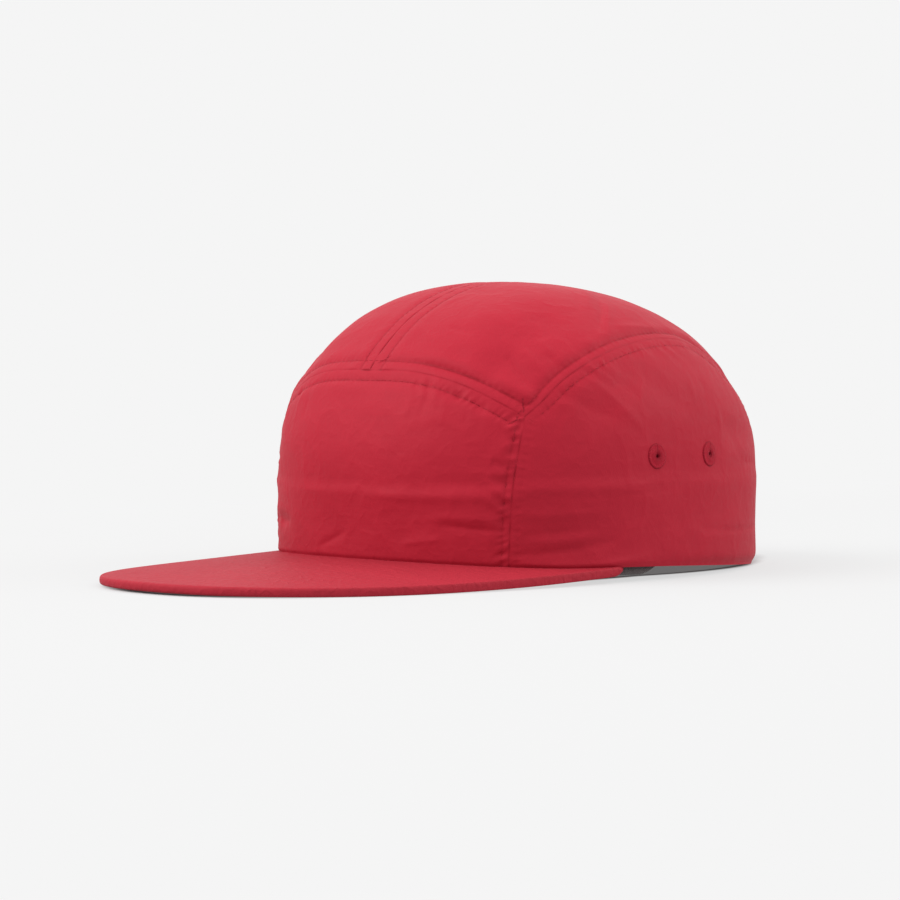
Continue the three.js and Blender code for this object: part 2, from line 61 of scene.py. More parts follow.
class Side(Enum):
    """The wearer's left, at +X, or right."""

    LEFT = 1
    RIGHT = -1


# Shader nodes


class Value:
    """A number that varies over a surface. Arithmetic on it adds Math nodes."""

    def __init__(self, shader: "Shader", socket: bpy.types.NodeSocket) -> None:
        """Keeps the socket and the shader that it belongs to."""
        self.shader = shader
        self.socket = socket

    def math(self, operation: str, *terms: "Value | float") -> "Value":
        """One Math node on the given terms."""
        return self.shader.value("ShaderNodeMath", {"operation": operation}, dict(enumerate(terms)))

    def __add__(self, other: "Value | float") -> "Value":
        """self + other."""
        return self.math("ADD", self, other)

    def __radd__(self, other: float) -> "Value":
        """other + self."""
        return self.math("ADD", other, self)

    def __sub__(self, other: "Value | float") -> "Value":
        """self - other."""
        return self.math("SUBTRACT", self, other)

    def __rsub__(self, other: float) -> "Value":
        """other - self."""
        return self.math("SUBTRACT", other, self)

    def __mul__(self, other: "Value | float") -> "Value":
        """self * other."""
        return self.math("MULTIPLY", self, other)

    def __truediv__(self, other: "Value | float") -> "Value":
        """self / other."""
        return self.math("DIVIDE", self, other)

    def __abs__(self) -> "Value":
        """The size of self without its sign."""
        return self.math("ABSOLUTE", self)

    def sin(self) -> "Value":
        """The sine of self, in radians."""
        return self.math("SINE", self)

    def bell(self, width: float) -> "Value":
        """1 where self is 0, falling to 0 over about twice the width."""
        share = self / width
        return self.math("EXPONENT", share * share * -1.0)


def shade(colour: Colour, share: float) -> tuple[float, ...]:
    """A colour made darker or lighter, with its alpha."""
    return (*(min(1.0, part * share) for part in colour), 1.0)


class Shader:
    """The nodes of one material, or of the world, with their output."""

    def __init__(self, name: str, world: bool = False) -> None:
        """Makes an empty material or world."""
        self.owner = (bpy.data.worlds if world else bpy.data.materials).new(name)
        self.owner.use_nodes = True
        self.tree = self.owner.node_tree
        self.tree.nodes.clear()
        kind = "ShaderNodeOutputWorld" if world else "ShaderNodeOutputMaterial"
        self.output = self.node(kind, {}, {})

    def node(self, kind: str, settings: dict, sockets: dict) -> bpy.types.Node:
        """Adds a node.

        Args:
            kind: the node's type.
            settings: what is set on the node itself, before its sockets.
            sockets: a value, or a socket or Value to link, for each input by name or number.

        Returns:
            The node.
        """
        made = self.tree.nodes.new(kind)
        for key, setting in settings.items():
            setattr(made, key, setting)
        for key, given in sockets.items():
            if isinstance(given, Value):
                given = given.socket
            if isinstance(given, bpy.types.NodeSocket):
                self.tree.links.new(given, made.inputs[key])
            else:
                made.inputs[key].default_value = given
        return made

    def value(self, kind: str, settings: dict, sockets: dict, output: int | str = 0) -> Value:
        """Adds a node and returns one of its outputs as a Value."""
        return Value(self, self.node(kind, settings, sockets).outputs[output])

    def place(self) -> bpy.types.NodeSocket:
        """A point's place in the object, in metres."""
        return self.node("ShaderNodeTexCoord", {}, {}).outputs["Object"]

    def parts(self, vector: bpy.types.NodeSocket) -> tuple[Value, ...]:
        """The three numbers of a vector."""
        split = self.node("ShaderNodeSeparateXYZ", {}, {0: vector})
        return tuple(Value(self, part) for part in split.outputs)

    def along_cloth(self) -> tuple[Value, Value]:
        """The two directions of the piece's own UV map, in millimetres."""
        uv = self.node("ShaderNodeUVMap", {"uv_map": "cloth"}, {}).outputs["UV"]
        along, across, _ = self.parts(uv)
        return along / MM, across / MM

    def weave(self, thread: float) -> Value:
        """Threads of a width in millimetres, which pass over and under each other, from -1 to 1."""
        warp, weft = (way * (math.pi / thread) for way in self.along_cloth())
        return warp.sin() * weft.sin()

    def attribute(self, name: str) -> Value:
        """A number that the mesh carries."""
        return self.value("ShaderNodeAttribute", {"attribute_name": name}, {}, "Fac")

    def clouds(self, grain: float, detail: float = 2.0, stretch: tuple = (1.0, 1.0, 1.0)) -> Value:
        """Soft noise from about -0.5 to 0.5.

        Args:
            grain: the size of its patches, in millimetres.
            detail: how many finer layers it has.
            stretch: how many times longer the patches are along each axis.

        Returns:
            The noise.
        """
        scale = [1.0 / (grain * MM * s) for s in stretch]
        scaled = self.node("ShaderNodeMapping", {}, {"Vector": self.place(), "Scale": scale})
        found = self.value(
            "ShaderNodeTexNoise", {}, {"Vector": scaled.outputs[0], "Scale": 1.0, "Detail": detail}
        )
        return found - 0.5

    def ridges(self, grain: float, detail: float) -> Value:
        """Sharp crests from 0 to 1 that wander over the surface, about a grain apart."""
        steepness = 9.0
        share = abs(self.clouds(grain, detail)) * steepness
        return 1.0 - share.math("MINIMUM", share, 1.0)

    def blend(self, share: Value, first: object, second: object) -> bpy.types.NodeSocket:
        """A colour from first, where share is 0, to second, where it is 1."""
        mix = self.node("ShaderNodeMix", {"data_type": "RGBA"}, {0: share, 6: first, 7: second})
        return mix.outputs[2]

    def toned(self, tone: Value, colour: Colour, dark: float, light: float) -> bpy.types.NodeSocket:
        """A colour that a tone from 0 to 1 takes from a dark share of it to a light one."""
        return self.blend(tone, shade(colour, dark), shade(colour, light))

    def ramp(self, number: Value, low: float, high: float, least: float, most: float) -> Value:
        """A smooth change from least, where a number is low, to most, where it is high."""
        return self.value("ShaderNodeMapRange", {"interpolation_type": "SMOOTHSTEP"}, {
            "Value": number, "From Min": low, "From Max": high, "To Min": least, "To Max": most})

    def end(self, surface: bpy.types.Node) -> None:
        """Links the last node to the output."""
        self.tree.links.new(surface.outputs[0], self.output.inputs["Surface"])

    def finish(self, relief: Value, sockets: dict) -> bpy.types.Material:
        """Ends the material in a Principled BSDF.

        Args:
            relief: height above the mesh in millimetres.
            sockets: the shader's inputs by name.

        Returns:
            The material.
        """
        bump = self.node("ShaderNodeBump", {}, {"Strength": 1.0, "Distance": MM, "Height": relief})
        self.end(self.node("ShaderNodeBsdfPrincipled", {}, {**sockets, "Normal": bump.outputs[0]}))
        return self.owner


@dataclass(frozen=True)
class CrownCloth:
    """Finely woven, slightly glossy cloth, which knows where its seams are."""

    name: str = "crown_cloth"
    colour: Colour = (0.285, 0.0095, 0.021)
    # Dark colour of the painted shade in the seams' ditches and along the rows of stitches.
    painted_seam_shade: Colour = (0.15, 0.001, 0.006)
    thread: float = 0.44
    stitch: float = 2.7

    def material(self) -> bpy.types.Material:
        """Weave, soft creases, dark seam lines of painted shade in the seams' ditches and along their rows of
        stitches, and small puckers along the stitches.
        """
        s = Shader(self.name)
        weave = s.weave(self.thread)
        slub = s.clouds(0.9)
        streak = s.clouds(2.4, stretch=(7.0, 7.0, 1.0))
        crinkle = s.ridges(17.0, 1.5) + s.ridges(6.5, 1.5) * 0.4
        drape = s.clouds(34.0)
        along = s.attribute("seam_along")
        # Masks of painted shade along each seam's line and along its row of stitches.
        line = s.attribute("seam_distance").bell(0.42) * s.attribute("seam_shows")
        from_row = s.attribute("row_distance")
        row = from_row.bell(0.55) * s.attribute("row_shows")
        ripple = (along * (2 * math.pi / self.stitch) + slub * 1.2 + drape * 8.0).sin() * from_row.bell(1.5)
        relief = weave * 0.006 + slub * 0.03 + streak * 0.07 + crinkle * 0.12 + ripple * 0.035
        tone = weave * 0.05 + slub * 0.08 + streak * 0.12 + crinkle * 0.05 + drape * 0.14 + 0.48
        cloth = s.toned(tone, self.colour, 0.8, 1.2)
        # Painted shade: the colour darkens along the seam lines and the rows of stitches.
        painted_seam_shade = s.blend(line * 0.8 + row * 0.5, cloth, shade(self.painted_seam_shade, 1))
        return s.finish(relief, {
            "Base Color": painted_seam_shade,
            "Roughness": 0.57 + slub * 0.08 + streak * 0.08,
            "Specular IOR Level": 0.07,
        })


@dataclass(frozen=True)
class PeakCloth:
    """The same cloth stretched over a board, with fine level streaks. Its base colour has more green and blue
    than the crown's, which is painted sheen.
    """

    name: str = "peak_cloth"
    # The cloth's red, with green and blue raised above the crown cloth's as painted sheen.
    colour: Colour = (0.268, 0.0155, 0.026)
    thread: float = 0.44

    def material(self) -> bpy.types.Material:
        """Weave and fine streaks across the peak."""
        s = Shader(self.name)
        weave = s.weave(self.thread)
        slub = s.clouds(0.8)
        streak = s.clouds(1.7, 3.0, (8.0, 1.0, 8.0))
        pull = s.ridges(5.0, 1.5)
        drape = s.clouds(28.0)
        relief = weave * 0.008 + slub * 0.04 + streak * 0.45 + drape * 0.3 + pull * 0.12
        tone = weave * 0.05 + slub * 0.1 + streak * 0.45 + drape * 0.25 + 0.47
        return s.finish(relief, {
            "Base Color": s.toned(tone, self.colour, 0.8, 1.22),
            "Roughness": 0.62 + slub * 0.08,
            "Specular IOR Level": 0.06,
        })


@dataclass(frozen=True)
class BandCloth:
    """Matt cotton twill of the sweatband."""

    name: str = "sweatband_cloth"
    # Near black: partly the band's own dark cloth, partly painted shade, as dark as the band shows in the
    # shaded gap under the rim.
    colour: Colour = (0.03, 0.02, 0.02)
    rib: float = 0.8
    thread: float = 0.4

    def material(self) -> bpy.types.Material:
        """Slanting twill ribs with a little lint."""
        s = Shader(self.name)
        warp, weft = s.along_cloth()
        twill = ((warp + weft) * (2 * math.pi / self.rib)).sin()
        thread = (warp * (2 * math.pi / self.thread)).sin()
        lint = s.clouds(1.2, 3.0)
        soft = s.clouds(14.0)
        tone = twill * 0.18 + thread * 0.06 + lint * 0.5 + soft * 0.3 + 0.5
        return s.finish(twill * 0.05 + thread * 0.015 + lint * 0.06 + soft * 0.2, {
            "Base Color": s.toned(tone, self.colour, 0.6, 1.6),
            "Roughness": 0.92 + lint * 0.08,
            "Specular IOR Level": 0.2,
            "Sheen Weight": 0.25,
            "Sheen Roughness": 0.6,
        })


@dataclass(frozen=True)
class Webbing:
    """Flat woven webbing with lengthwise ribs."""

    name: str = "webbing"
    colour: Colour = (0.22, 0.005, 0.014)
    rib: float = 1.5
    pick: float = 1.1

    def material(self) -> bpy.types.Material:
        """Ribs, picks and a firm edge."""
        s = Shader(self.name)
        along, across = s.along_cloth()
        rib = abs((across * (math.pi / self.rib)).sin())
        slant = ((along + across * 0.5) * (2 * math.pi / self.pick)).sin()
        lint = s.clouds(0.7)
        tone = rib * 0.35 + slant * 0.15 + lint * 0.3 + 0.2
        return s.finish(rib * 0.16 + slant * 0.05 + lint * 0.03, {
            "Base Color": s.toned(tone, self.colour, 0.55, 1.3),
            "Roughness": 0.72 + lint * 0.1,
            "Specular IOR Level": 0.15,
            "Sheen Weight": 0.05,
        })


@dataclass(frozen=True)
class Thread:
    """Twisted sewing thread."""

    name: str = "thread"
    colour: Colour = (0.23, 0.005, 0.014)
    grain: float = 0.35

    def material(self) -> bpy.types.Material:
        """Small twists in tone and height."""
        s = Shader(self.name)
        twist = s.clouds(self.grain)
        return s.finish(twist * 0.06, {
            "Base Color": s.toned(twist + 0.5, self.colour, 0.7, 1.3),
            "Roughness": 0.6 + twist * 0.1,
            "Specular IOR Level": 0.12,
        })


@dataclass(frozen=True)
class EyeletThread:
    """Thread sewn closely round a hole, so that it lies in spokes."""

    name: str = "eyelet_thread"
    colour: Colour = (0.3, 0.0065, 0.019)
    spokes: int = 46
    # Where the painted shade at the ring's outer edge lies, in millimetres from the middle.
    edge: float = 4.4

    def material(self) -> bpy.types.Material:
        """Spokes read from the turn round the hole that the mesh carries, and painted shade at the ring's
        outer edge.
        """
        s = Shader(self.name)
        turn = s.attribute("turn")
        out = s.attribute("out")
        lint = s.clouds(0.5)
        spoke = (turn * float(self.spokes) + lint * 1.5).sin()
        # Painted shade: a dark band round the ring's outer edge, where it meets the cloth.
        rim = (out - self.edge).bell(0.35)
        tone = spoke * 0.22 + lint * 0.3 + 0.5 - rim * 0.3
        return s.finish(spoke * 0.07 + lint * 0.03, {
            "Base Color": s.toned(tone, self.colour, 0.6, 1.35),
            "Roughness": 0.6 + lint * 0.1,
            "Specular IOR Level": 0.08,
        })


@dataclass(frozen=True)
class Moulded:
    """Matt moulded plastic with a fine grain."""

    name: str = "buckle"
    colour: Colour = (0.012, 0.012, 0.013)

    def material(self) -> bpy.types.Material:
        """Fine grain, and lighter, rougher patches where it is rubbed; the lighter colour is partly wear and
        partly painted shine.
        """
        s = Shader(self.name)
        grain = s.clouds(0.35)
        # Lighter where rubbed: partly wear, partly painted shine.
        wear_and_painted_shine = s.clouds(5.0)
        return s.finish(grain * 0.03, {
            "Base Color": s.toned(wear_and_painted_shine + 0.5, self.colour, 0.8, 1.5),
            "Roughness": 0.42 + grain * 0.15 + wear_and_painted_shine * 0.15,
            "Specular IOR Level": 0.45,
        })


# Form of the cap


def smoothstep(share: Points) -> Points:
    """An even rise from 0 to 1."""
    share = np.clip(share, 0, 1)
    return share * share * (3 - 2 * share)


def bell(offset: Points, width: float) -> Points:
    """1 at no offset, falling to 0 over about twice the width."""
    return np.exp(-((offset / width) ** 2))


def crest(offset: Points, width: float) -> Points:
    """1 at no offset, with a sharper top than a bell of the same width."""
    return np.exp(0.35 - np.sqrt((2 * offset / width) ** 2 + 0.1225))


@dataclass(frozen=True)
class CrownForm:
    """The smooth form that the crown's panels lie on."""

    half_width: float = 80.9
    length: float = 187.7
    height: float = 107.0
    top_offset: float = 14.5
    wall_height: float = 35.7
    front_squareness: float = 2.3
    back_squareness: float = 2.03
    front_roundness: float = 2.06
    back_roundness: float = 2.08
    side_roundness: float = 2.38

    @property
    def heart(self) -> Points:
        """The point that the form swells from."""
        return np.array([0.0, -self.top_offset, self.wall_height])

    def _shares(self, points: Points) -> tuple[Points, Points, Points]:
        """How far out and how far up points are, as shares of the form, and its roundness there."""
        along = points[..., 1] + self.top_offset
        ahead = along < 0
        reach = np.where(ahead, self.length / 2 - self.top_offset, self.length / 2 + self.top_offset)
        square = np.where(ahead, self.front_squareness, self.back_squareness)
        sideways = points[..., 0] ** 2 / (points[..., 0] ** 2 + along**2 + 1e-9)
        ends = np.where(ahead, self.front_roundness, self.back_roundness)
        roundness = ends + (self.side_roundness - ends) * sideways
        wide = np.abs(points[..., 0]) / self.half_width
        level = (wide**square + (np.abs(along) / reach) ** square) ** (1 / square)
        rise = np.maximum(points[..., 2] - self.wall_height, 0) / (self.height - self.wall_height)
        return level, rise, roundness

    def measure(self, points: Points) -> Points:
        """1 on the form, less inside it and more outside."""
        level, rise, roundness = self._shares(points)
        return (level**roundness + rise**roundness) ** (1 / roundness)

    def pull(self, points: Points) -> Points:
        """Points moved onto the form, along rays from its heart."""
        return self.heart + (points - self.heart) / self.measure(points)[..., None]

    def pull_level(self, points: Points) -> Points:
        """Points moved onto the form at their own height."""
        level, rise, roundness = self._shares(points)
        share = (1 - np.clip(rise, 0, 1) ** roundness) ** (1 / roundness) / level
        moved = points.copy()
        moved[..., 0] *= share
        moved[..., 1] = (points[..., 1] + self.top_offset) * share - self.top_offset
        return moved

    def normal(self, points: Points) -> Points:
        """The direction out of the form."""
        slope = np.empty_like(points)
        for axis in range(3):
            step = np.zeros(3)
            step[axis] = 0.05
            slope[..., axis] = self.measure(points + step) - self.measure(points - step)
        return slope / np.linalg.norm(slope, axis=-1, keepdims=True)

    def at(self, across: Points, height: Points, end: float) -> Points:
        """The form's points at a half width and height, on its front (-1) or back (1)."""
        across, height = np.broadcast_arrays(np.asarray(across, float), np.asarray(height, float))
        near, far = np.zeros(across.shape), np.full(across.shape, 2 * self.length)
        for _ in range(44):
            middle = (near + far) / 2
            points = np.stack([across, end * middle - self.top_offset, height], -1)
            inside = self.measure(points) < 1
            near, far = np.where(inside, middle, near), np.where(inside, far, middle)
        return np.stack([across, end * near - self.top_offset, height], -1)


@dataclass(frozen=True)
class PeakForm:
    """The stiff peak's surface and outer edge."""

    length: float = 92.3
    half_width: float = 80.2
    end_offset: float = 36.0
    squareness: float = 2.37
    thickness: float = 3.2
    slope: float = 2.4
    camber: float = 4.6
    camber_power: float = 2.5
    crown: CrownForm = field(default_factory=CrownForm)

    def drop(self, x: Points, y: Points) -> Points:
        """How far below the front of the rim the top surface lies."""
        camber = self.camber * np.abs(x / self.half_width) ** self.camber_power
        return camber - math.tan(math.radians(self.slope)) * (y + self.crown.length / 2)

    def edge(self, turn: Points) -> Points:
        """The outer edge in plan, for turns from -90 to 90 degrees, in radians."""
        power = 2 / self.squareness
        depth = self.length + self.crown.length / 2 - self.end_offset
        across = np.sign(np.sin(turn)) * np.abs(np.sin(turn)) ** power
        ahead = np.maximum(np.cos(turn), 0) ** power
        return np.stack([self.half_width * across, -self.end_offset - depth * ahead], -1)

    @property
    def root_height(self) -> float:
        """Height of the top surface at the front of the rim."""
        edge = self.edge(math.pi * (np.arange(37) / 36 - 0.5))
        return float(max(0.0, self.drop(edge[:, 0], edge[:, 1]).max())) + self.thickness

    def top(self, x: Points, y: Points) -> Points:
        """Height of the top surface."""
        return self.root_height - self.drop(x, y)


def lengths(line: Points) -> Points:
    """How far along a line each of its points is."""
    return np.concatenate([[0], np.cumsum(np.linalg.norm(np.diff(line, axis=0), axis=1))])


def at_shares(line: Points, shares: Points) -> Points:
    """The points of a line at shares of its length."""
    far = lengths(line)
    return np.stack([np.interp(shares * far[-1], far, line[:, i]) for i in range(line.shape[1])], -1)


def even(line: Points, step: float) -> Points:
    """A line with its points a step apart."""
    return at_shares(line, np.linspace(0, 1, max(2, round(lengths(line)[-1] / step))))


def through(padded: Points, steps: int, pace: float) -> Points:
    """A smooth line through all points but the first and the last.

    Args:
        padded: the points.
        steps: pieces from one point to the next.
        pace: 0.5 to slow down between close points, so that no loops form, or 0 for an even pace.

    Returns:
        The line's points.
    """
    share = np.linspace(0, 1, steps + 1)[:, None]
    made = []
    for a, b, c, d in zip(padded, padded[1:], padded[2:], padded[3:]):
        first, second, third = (np.linalg.norm(q - p) ** pace for p, q in ((a, b), (b, c), (c, d)))
        out = ((b - a) / first - (c - a) / (first + second) + (c - b) / second) * second
        into = ((c - b) / second - (d - b) / (second + third) + (d - c) / third) * second
        made.append(b + out * share + (3 * c - 3 * b - 2 * out - into) * share**2
                    + (2 * b - 2 * c + out + into) * share**3)
    return np.vstack([part[:-1] for part in made] + [made[-1][-1:]])


def centripetal(points: Points) -> Points:
    """A smooth line through points, with no loops between close ones."""
    return through(np.vstack([2 * points[0] - points[1], points, 2 * points[-1] - points[-2]]), 60, 0.5)


def uniform(points: Points) -> Points:
    """A smooth line through points in plan, as the part's straps follow."""
    return through(np.vstack([points[0], points, points[-1]]), 40, 0.0)


def mirrored(line: Points) -> Points:
    """The same line on the cap's other side."""
    return line * np.array([-1.0, 1.0, 1.0])


def waver(along: Points, pitch: float, seed: float) -> Points:
    """An uneven wave from about -1 to 1 with a mean pitch, different for each seed."""
    turn = 2 * math.pi * along / pitch
    drift = 1.7 * np.sin(turn / 3.7 + seed) + 1.1 * np.sin(turn / 2.3 + 2.1 * seed)
    strength = 0.62 + 0.38 * np.sin(turn / 4.9 + 3.3 * seed)
    return strength * np.sin(turn + drift + seed)


def nearest_on(line: Points, points: Points) -> tuple[Points, Points, Points]:
    """Where points lie beside a line.

    Args:
        line: the line's points in order.
        points: rows of points.

    Returns:
        The distance from the line, the length along it, and how far past an end each point lies.
    """
    start, way = line[:-1], np.diff(line, axis=0)
    size = (way**2).sum(1)
    far = lengths(line)
    apart, along, past = (np.empty(len(points)) for _ in range(3))
    batch = 2000
    for i in range(0, len(points), batch):
        rows = slice(i, i + batch)
        offset = points[rows, None, :] - start
        share = (offset * way).sum(2) / size
        held = np.clip(share, 0, 1)
        gap = np.linalg.norm(offset - held[..., None] * way, axis=2)
        best = gap.argmin(1)
        pick = np.arange(len(best)), best
        apart[rows] = gap[pick]
        along[rows] = far[best] + held[pick] * np.sqrt(size[best])
        past[rows] = np.abs(share[pick] - held[pick]) * np.sqrt(size[best])
    return apart, along, past


Profile = tuple[tuple[float, float], ...]


def level(number: float) -> Profile:
    """The same number all along."""
    return ((0, number), (1, number))


def profile_at(profile: Profile, share: Points) -> Points:
    """What a profile of (share, number) pairs gives at shares."""
    shares, numbers = zip(*profile)
    return np.interp(share, shares, numbers)


@dataclass(frozen=True)
class Hem:
    """How one panel's cloth lies along a seam, by share of the seam's length."""

    row: Profile
    pucker: Profile


@dataclass(frozen=True)
class SeamLine:
    """A seam between panels: its line, how far off its rows of stitches run, and how it shows.

    Its rows stop at the rows of other seams, apart from those that they run over.
    """

    name: str
    points: Points
    row: Profile
    shows: Profile
    seed: float
    over: tuple[str, ...] = ()

    def share(self, along: Points) -> Points:
        """Lengths along the seam as shares of it."""
        return along / lengths(self.points)[-1]

    def nearest(self, points: Points) -> tuple[Points, Points, Points]:
        """How far points lie from the seam, along it and past its ends."""
        return nearest_on(self.points, points)


@dataclass(frozen=True)
class Ripple:
    """Waves of the cloth along a row of stitches, and how far from it they reach."""

    pitch: float
    slant: float
    offset: float
    reach: float
    height: float
    lift: float = 0.0

    def rise(self, along: Points, apart: Points, from_row: Points, seed: float) -> Points:
        """How far the cloth rises, along a seam and apart from it and its row."""
        wave = waver(along + self.slant * apart, self.pitch, seed)
        return (wave * self.height + self.lift) * bell(from_row - self.offset, self.reach)


FINE = Ripple(3.6, 0.35, -0.4, 2.3, 0.3)
COARSE = Ripple(9.5, -0.5, 1.5, 5.0, 0.35)
SWELL = Ripple(17.0, 0.2, 3.2, 2.8, 0.15, 0.25)


@dataclass(frozen=True)
class Fold:
    """A soft fold on both sides of the crown, as in the part's source."""

    around: float
    up: float
    tilt: float
    long: float
    wide: float
    deep: float


@dataclass(frozen=True)
class Crease:
    """A crease between two points of the crown, above 0 deep where the cloth falls in."""

    start: tuple[float, float, float]
    end: tuple[float, float, float]
    width: float
    deep: float


FOLDS = (
    Fold(128, 0.48, 2, 0.22, 0.07, 0.7),
    Fold(72, 0.58, 35, 0.24, 0.08, 0.6),
    Fold(92, 0.65, -30, 0.22, 0.07, 0.5),
    Fold(48, 0.76, 40, 0.26, 0.09, 0.8),
    Fold(66, 0.86, 12, 0.26, 0.08, 0.6),
    Fold(150, 0.62, -20, 0.26, 0.09, 0.7),
)

CREASES = (
    Crease((9, -94, 32), (60, -73, 32), 2.6, -0.5),
    Crease((-28, -91, 33), (11, -94, 34), 3.0, -0.35),
    Crease((39, -87, 37), (59, -74, 36), 3.5, 0.4),
    Crease((-48, -82, 20), (-37, -88, 21), 3.5, 1.0),
    Crease((-15, -93, 12), (0, -94, 18), 2.2, 0.5),
    Crease((41, -86, 22), (60, -73, 20), 2.5, 0.6),
    Crease((37, -88, 25), (59, -74, 25), 3.5, -0.5),
    Crease((26, -91, 15), (41, -86, 17), 2.5, -0.35),
    Crease((24, -84, 67), (25, -88, 58), 1.8, -0.35),
    Crease((30, -83, 66), (31, -87, 57), 1.8, 0.35),
    Crease((41, -78, 68), (42, -79, 65), 1.6, 0.9),
    Crease((37, -80, 67), (39, -84, 56), 2.2, -0.3),
    Crease((46, -77, 65), (47, -80, 56), 2.5, 0.3),
    Crease((56, -76, 44), (60, -73, 42), 2.0, 0.8),
    Crease((55, -77, 40), (60, -73, 39), 2.0, -0.5),
    Crease((63, -70, 35), (81, -21, 35), 2.6, -0.55),
    Crease((80, -30, 33), (80, -2, 34), 1.8, 0.35),
    Crease((62, -71, 26), (78, -42, 27), 4.0, -0.55),
    Crease((62, -71, 19), (77, -44, 21), 3.0, 0.35),
    Crease((63, -70, 12), (79, -37, 16), 2.8, 0.6),
    Crease((66, -67, 16), (77, -44, 18), 2.6, -0.3),
    Crease((63, -69, 9), (81, -21, 10), 2.8, -0.7),
    Crease((69, -41, 73), (79, -23, 54), 2.6, -0.6),
    Crease((71, -48, 64), (77, -34, 60), 4.0, 0.5),
    Crease((72, -30, 73), (76, -22, 66), 3.5, 0.5),
    Crease((70, 8, 74), (75, 8, 64), 2.2, -0.4),
    Crease((70, 17, 71), (75, 15, 60), 2.5, 0.35),
    Crease((72, 23, 63), (75, 23, 49), 2.4, -0.4),
    Crease((72, 36, 42), (60, 60, 40), 1.2, 0.6),
    Crease((79, 7, 18), (57, 64, 16), 1.2, 0.5),
    Crease((49, -62, 81), (62, -61, 69), 3.0, 0.9),
    Crease((51, -57, 84), (63, -55, 73), 4.0, -0.5),
    Crease((42, -73, 75), (61, -65, 64), 3.2, -0.6),
    Crease((23, -64, 91), (34, -63, 88), 3.5, 0.5),
    Crease((7, -65, 92), (34, -73, 79), 4.0, -0.45),
    Crease((58, -51, 82), (64, -50, 76), 2.5, 0.55),
    Crease((53, -49, 87), (60, -50, 80), 2.5, -0.4),
    Crease((29, 4, 103), (60, -26, 89), 3.0, 0.6),
    Crease((44, -6, 99), (60, -22, 89), 2.8, -0.5),
    Crease((29, -2, 104), (48, -19, 98), 3.0, -0.4),
    Crease((58, -16, 91), (58, 8, 91), 3.5, -0.5),
)


CLEAN = Hem(level(1.0), level(0.12))
QUIET = Hem(level(0.6), level(0.1))
TOP_FRONT = Hem(((0, 0.5), (0.2, 0.7), (0.5, 0.8), (0.62, 1.2), (0.75, 1.6), (1, 1.6)), level(0.12))
FRONT_TOP = Hem(((0, 0.3), (0.2, 0.6), (0.4, 0.8), (1, 0.7)),
                ((0, 0.3), (0.5, 0.1), (0.6, 0.3), (0.72, 0.9), (1, 1)))
FRONT_CORNER = Hem(level(0.5), ((0, 0.7), (0.05, 1.2), (0.3, 1.2), (1, 1)))
FLANK = Hem(((0, 0.1), (0.2, 0.1), (0.27, 0.5), (0.36, 0.25), (0.5, 0.3), (0.7, 0.6), (1, 0.7)),
            ((0, 0.1), (0.2, 0.15), (0.27, 0.8), (0.45, 0.6), (0.7, 0.3), (0.85, 0.7), (1, 0.7)))


